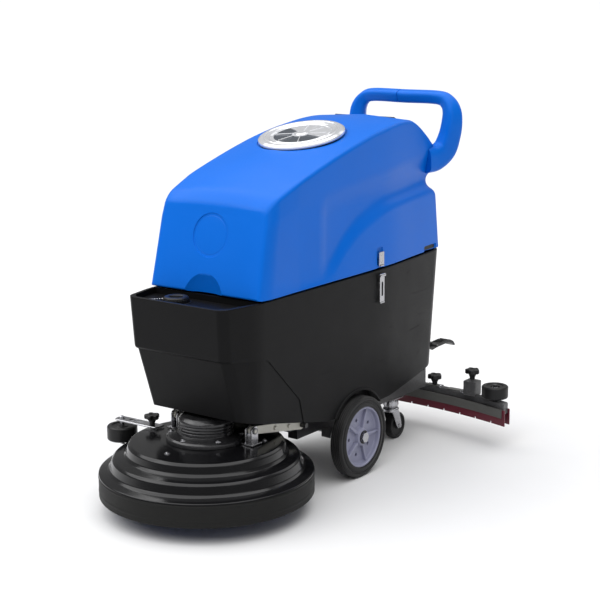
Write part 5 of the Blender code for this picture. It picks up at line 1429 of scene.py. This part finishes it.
# ---------------------------------------------------------------- stage
def make_stage():
    """Pale floor, soft lights, and the camera."""
    scene = bpy.context.scene
    view = scene.scrubber_stage
    bm = bmesh.new()
    bmesh.ops.create_grid(bm, x_segments=1, y_segments=1, size=200.0)
    floor = mesh_object("studio_floor", bm)
    pale = bpy.data.materials.new("pale_floor")
    pale.use_nodes = True
    shader = pale.node_tree.nodes["Principled BSDF"]
    shader.inputs["Roughness"].default_value = 0.85
    shader.inputs["Specular IOR Level"].default_value = 0.15
    drift = group_node(pale.node_tree, "colour_drift", Colour=(0.66, 0.66, 0.665, 1.0),
                       Amount=0.03)
    pale.node_tree.links.new(drift.outputs["Colour"], shader.inputs["Base Color"])
    floor.data.materials.append(pale)
    world = bpy.data.worlds.new("studio")
    world.use_nodes = True
    world.node_tree.nodes["Background"].inputs["Color"].default_value = (1.0, 1.0, 1.0, 1.0)
    background = world.node_tree.nodes["Background"]
    seen = world.node_tree.nodes.new("ShaderNodeLightPath").outputs["Is Camera Ray"]
    strength = math_node(world.node_tree, "MULTIPLY_ADD", seen, 0.72)
    strength.node.inputs[2].default_value = 0.28
    world.node_tree.links.new(strength, background.inputs["Strength"])
    scene.world = world
    sun = bpy.data.objects.new("soft_sun", bpy.data.lights.new("soft_sun", "SUN"))
    sun.data.energy, sun.data.angle = 4.4, radians(100)
    sun.rotation_euler = Vector((-0.15, -0.20, 1.0)).to_track_quat("Z", "Y").to_euler()
    scene.collection.objects.link(sun)
    for name, place, aim, size, power in (
            ("key_light", (-2.2, -2.6, 3.2), (0, 0, 0.5), 2.2, 22.0),
            ("side_light", (3.2, -1.0, 2.2), (0, 0, 0.5), 2.0, 12.0),
            ("back_light", (0.6, 3.2, 2.6), (0, 0, 0.6), 2.2, 14.0)):
        lamp = bpy.data.lights.new(name, "AREA")
        lamp.size, lamp.energy = size, power
        made = bpy.data.objects.new(name, lamp)
        made.location = place
        made.rotation_euler = (Vector(aim) - Vector(place)).to_track_quat("-Z", "Y").to_euler()
        scene.collection.objects.link(made)
    camera = bpy.data.objects.new("camera", bpy.data.cameras.new("camera"))
    camera.data.sensor_width = 36.0
    camera.data.lens = view.lens
    camera.data.shift_y = view.shift
    camera.data.clip_end = 500.0
    a, e, r = view.azimuth, view.elevation, view.roll
    back = Vector((sin(a) * cos(e), -cos(a) * cos(e), sin(e)))
    right = Vector((cos(a), sin(a), 0.0))
    up = back.cross(right)
    turned_right = right * cos(r) + up * sin(r)
    turned_up = up * cos(r) - right * sin(r)
    place = Matrix((turned_right, turned_up, back)).transposed().to_4x4()
    place.translation = Vector(view.target) + back * view.distance
    camera.matrix_world = place
    scene.collection.objects.link(camera)
    scene.camera = camera
    scene.view_settings.view_transform = "Standard"


# ---------------------------------------------------------------- add-on


class BuildStage(bpy.types.Operator):
    """Pale floor, soft lights, and the camera."""
    bl_idname = "scrubber.stage"
    bl_label = "Stage"

    def execute(self, context):
        make_stage()
        return {"FINISHED"}


class BuildRecoveryTank(bpy.types.Operator):
    """The blue shell with its lid seat, console recess and front hollows."""
    bl_idname = "scrubber.recovery_tank"
    bl_label = "Recovery tank"

    def execute(self, context):
        make_recovery_tank()
        return {"FINISHED"}


class BuildHandle(bpy.types.Operator):
    """The push handle, moulded in the tank's blue, with a seam where its halves meet."""
    bl_idname = "scrubber.handle"
    bl_label = "Push handle"

    def execute(self, context):
        make_handle()
        return {"FINISHED"}


class BuildLid(bpy.types.Operator):
    """The bright lid: stepped rim, dark sight windows between ribs, and seal."""
    bl_idname = "scrubber.lid"
    bl_label = "Lid"

    def execute(self, context):
        make_lid()
        return {"FINISHED"}


class BuildFloatValve(bpy.types.Operator):
    """Float valve and suction motor inside the recovery tank."""
    bl_idname = "scrubber.float_valve"
    bl_label = "Float valve and suction motor"

    def execute(self, context):
        make_float()
        return {"FINISHED"}


class BuildConsole(bpy.types.Operator):
    """Sloping panel with key switch, two rockers, charge gauge and a valve knob."""
    bl_idname = "scrubber.console"
    bl_label = "Console"

    def execute(self, context):
        make_console()
        return {"FINISHED"}


class BuildLatches(bpy.types.Operator):
    """Over-centre latches at the tanks' sides, and the hinge behind."""
    bl_idname = "scrubber.latches"
    bl_label = "Latches and hinge"

    def execute(self, context):
        make_latches()
        return {"FINISHED"}


class BuildSolutionTank(bpy.types.Operator):
    """The black shell, its rim, filler ledge, wheel arches and relief lines."""
    bl_idname = "scrubber.solution_tank"
    bl_label = "Solution tank"

    def execute(self, context):
        make_solution_tank()
        return {"FINISHED"}


class BuildFiller(bpy.types.Operator):
    """Filler collar, ribbed cap and the bead chain between them."""
    bl_idname = "scrubber.filler"
    bl_label = "Filler cap and chain"

    def execute(self, context):
        make_filler()
        return {"FINISHED"}


class BuildChassis(bpy.types.Operator):
    """Painted frame, axle and batteries."""
    bl_idname = "scrubber.chassis"
    bl_label = "Chassis and batteries"

    def execute(self, context):
        make_chassis()
        return {"FINISHED"}


class BuildWheels(bpy.types.Operator):
    """Drive wheels: grooved tyre, dished rim with five ribs, and a dark hub ring."""
    bl_idname = "scrubber.wheels"
    bl_label = "Drive wheels"

    def execute(self, context):
        make_wheels()
        return {"FINISHED"}


class BuildCasters(bpy.types.Operator):
    """Small swivel wheels with stamped forks."""
    bl_idname = "scrubber.casters"
    bl_label = "Casters"

    def execute(self, context):
        make_casters()
        return {"FINISHED"}


class BuildDeck(bpy.types.Operator):
    """Stepped glossy cover and its rubber skirt with a raised retaining band."""
    bl_idname = "scrubber.deck"
    bl_label = "Brush deck"

    def execute(self, context):
        make_deck()
        return {"FINISHED"}


class BuildBrushDrive(bpy.types.Operator):
    """Brush motor with its flange, disc, and tufted bristles."""
    bl_idname = "scrubber.brush_drive"
    bl_label = "Brush drive"

    def execute(self, context):
        make_brush_drive()
        return {"FINISHED"}


class BuildLiftArms(bpy.types.Operator):
    """Cream lift arms with their cross tube, and the clevises on the deck."""
    bl_idname = "scrubber.lift_arms"
    bl_label = "Lift arms"

    def execute(self, context):
        make_lift_arms()
        return {"FINISHED"}


class BuildBumper(bpy.types.Operator):
    """Wall roller on its bracket, with the star knob that clamps it."""
    bl_idname = "scrubber.bumper"
    bl_label = "Wall roller"

    def execute(self, context):
        make_bumper()
        return {"FINISHED"}


class BuildSqueegeeArm(bpy.types.Operator):
    """Folded trailing arm that carries the squeegee."""
    bl_idname = "scrubber.squeegee_arm"
    bl_label = "Squeegee arm"

    def execute(self, context):
        make_squeegee_arm()
        return {"FINISHED"}


class BuildSqueegee(bpy.types.Operator):
    """Bowed beam, notched maroon blades, clamp strips, hose spigot, knobs and end rollers."""
    bl_idname = "scrubber.squeegee"
    bl_label = "Squeegee"

    def execute(self, context):
        make_squeegee()
        return {"FINISHED"}


class BuildRearControls(bpy.types.Operator):
    """Deck pedal with a ribbed pad, and the squeegee's hand lever."""
    bl_idname = "scrubber.rear_controls"
    bl_label = "Rear controls"

    def execute(self, context):
        make_rear_controls()
        return {"FINISHED"}


BUILDERS = (BuildStage, BuildRecoveryTank, BuildHandle, BuildLid, BuildFloatValve, BuildConsole,
            BuildLatches, BuildSolutionTank, BuildFiller, BuildChassis, BuildWheels, BuildCasters,
            BuildDeck, BuildBrushDrive, BuildLiftArms, BuildBumper, BuildSqueegeeArm,
            BuildSqueegee, BuildRearControls)
SETTINGS = (ScrubberColours, ScrubberSizes, ScrubberStage)


class ScrubberPanel(bpy.types.Panel):
    """Lists the settings and the build steps"""
    bl_idname = "VIEW3D_PT_scrubber"
    bl_label = "Floor Scrubber"
    bl_space_type = "VIEW_3D"
    bl_region_type = "UI"
    bl_category = "Scrubber"

    def draw(self, context):
        for group in SETTINGS:
            box = self.layout.box()
            settings = getattr(context.scene, PROPERTY_NAMES[group])
            for name in group.__annotations__:
                box.prop(settings, name)
        for builder in BUILDERS:
            self.layout.operator(builder.bl_idname)


PROPERTY_NAMES = {ScrubberColours: "scrubber_colours", ScrubberSizes: "scrubber_sizes",
                  ScrubberStage: "scrubber_stage"}


def register():
    for item in SETTINGS + BUILDERS + (ScrubberPanel,):
        bpy.utils.register_class(item)
    for group, name in PROPERTY_NAMES.items():
        setattr(bpy.types.Scene, name, bpy.props.PointerProperty(type=group))


def unregister():
    for name in PROPERTY_NAMES.values():
        delattr(bpy.types.Scene, name)
    for item in reversed(SETTINGS + BUILDERS + (ScrubberPanel,)):
        bpy.utils.unregister_class(item)


def main():
    register()
    make_finishes()
    for builder in BUILDERS:
        group, name = builder.bl_idname.split(".")
        getattr(getattr(bpy.ops, group), name)()


if __name__ == "__main__":
    main()
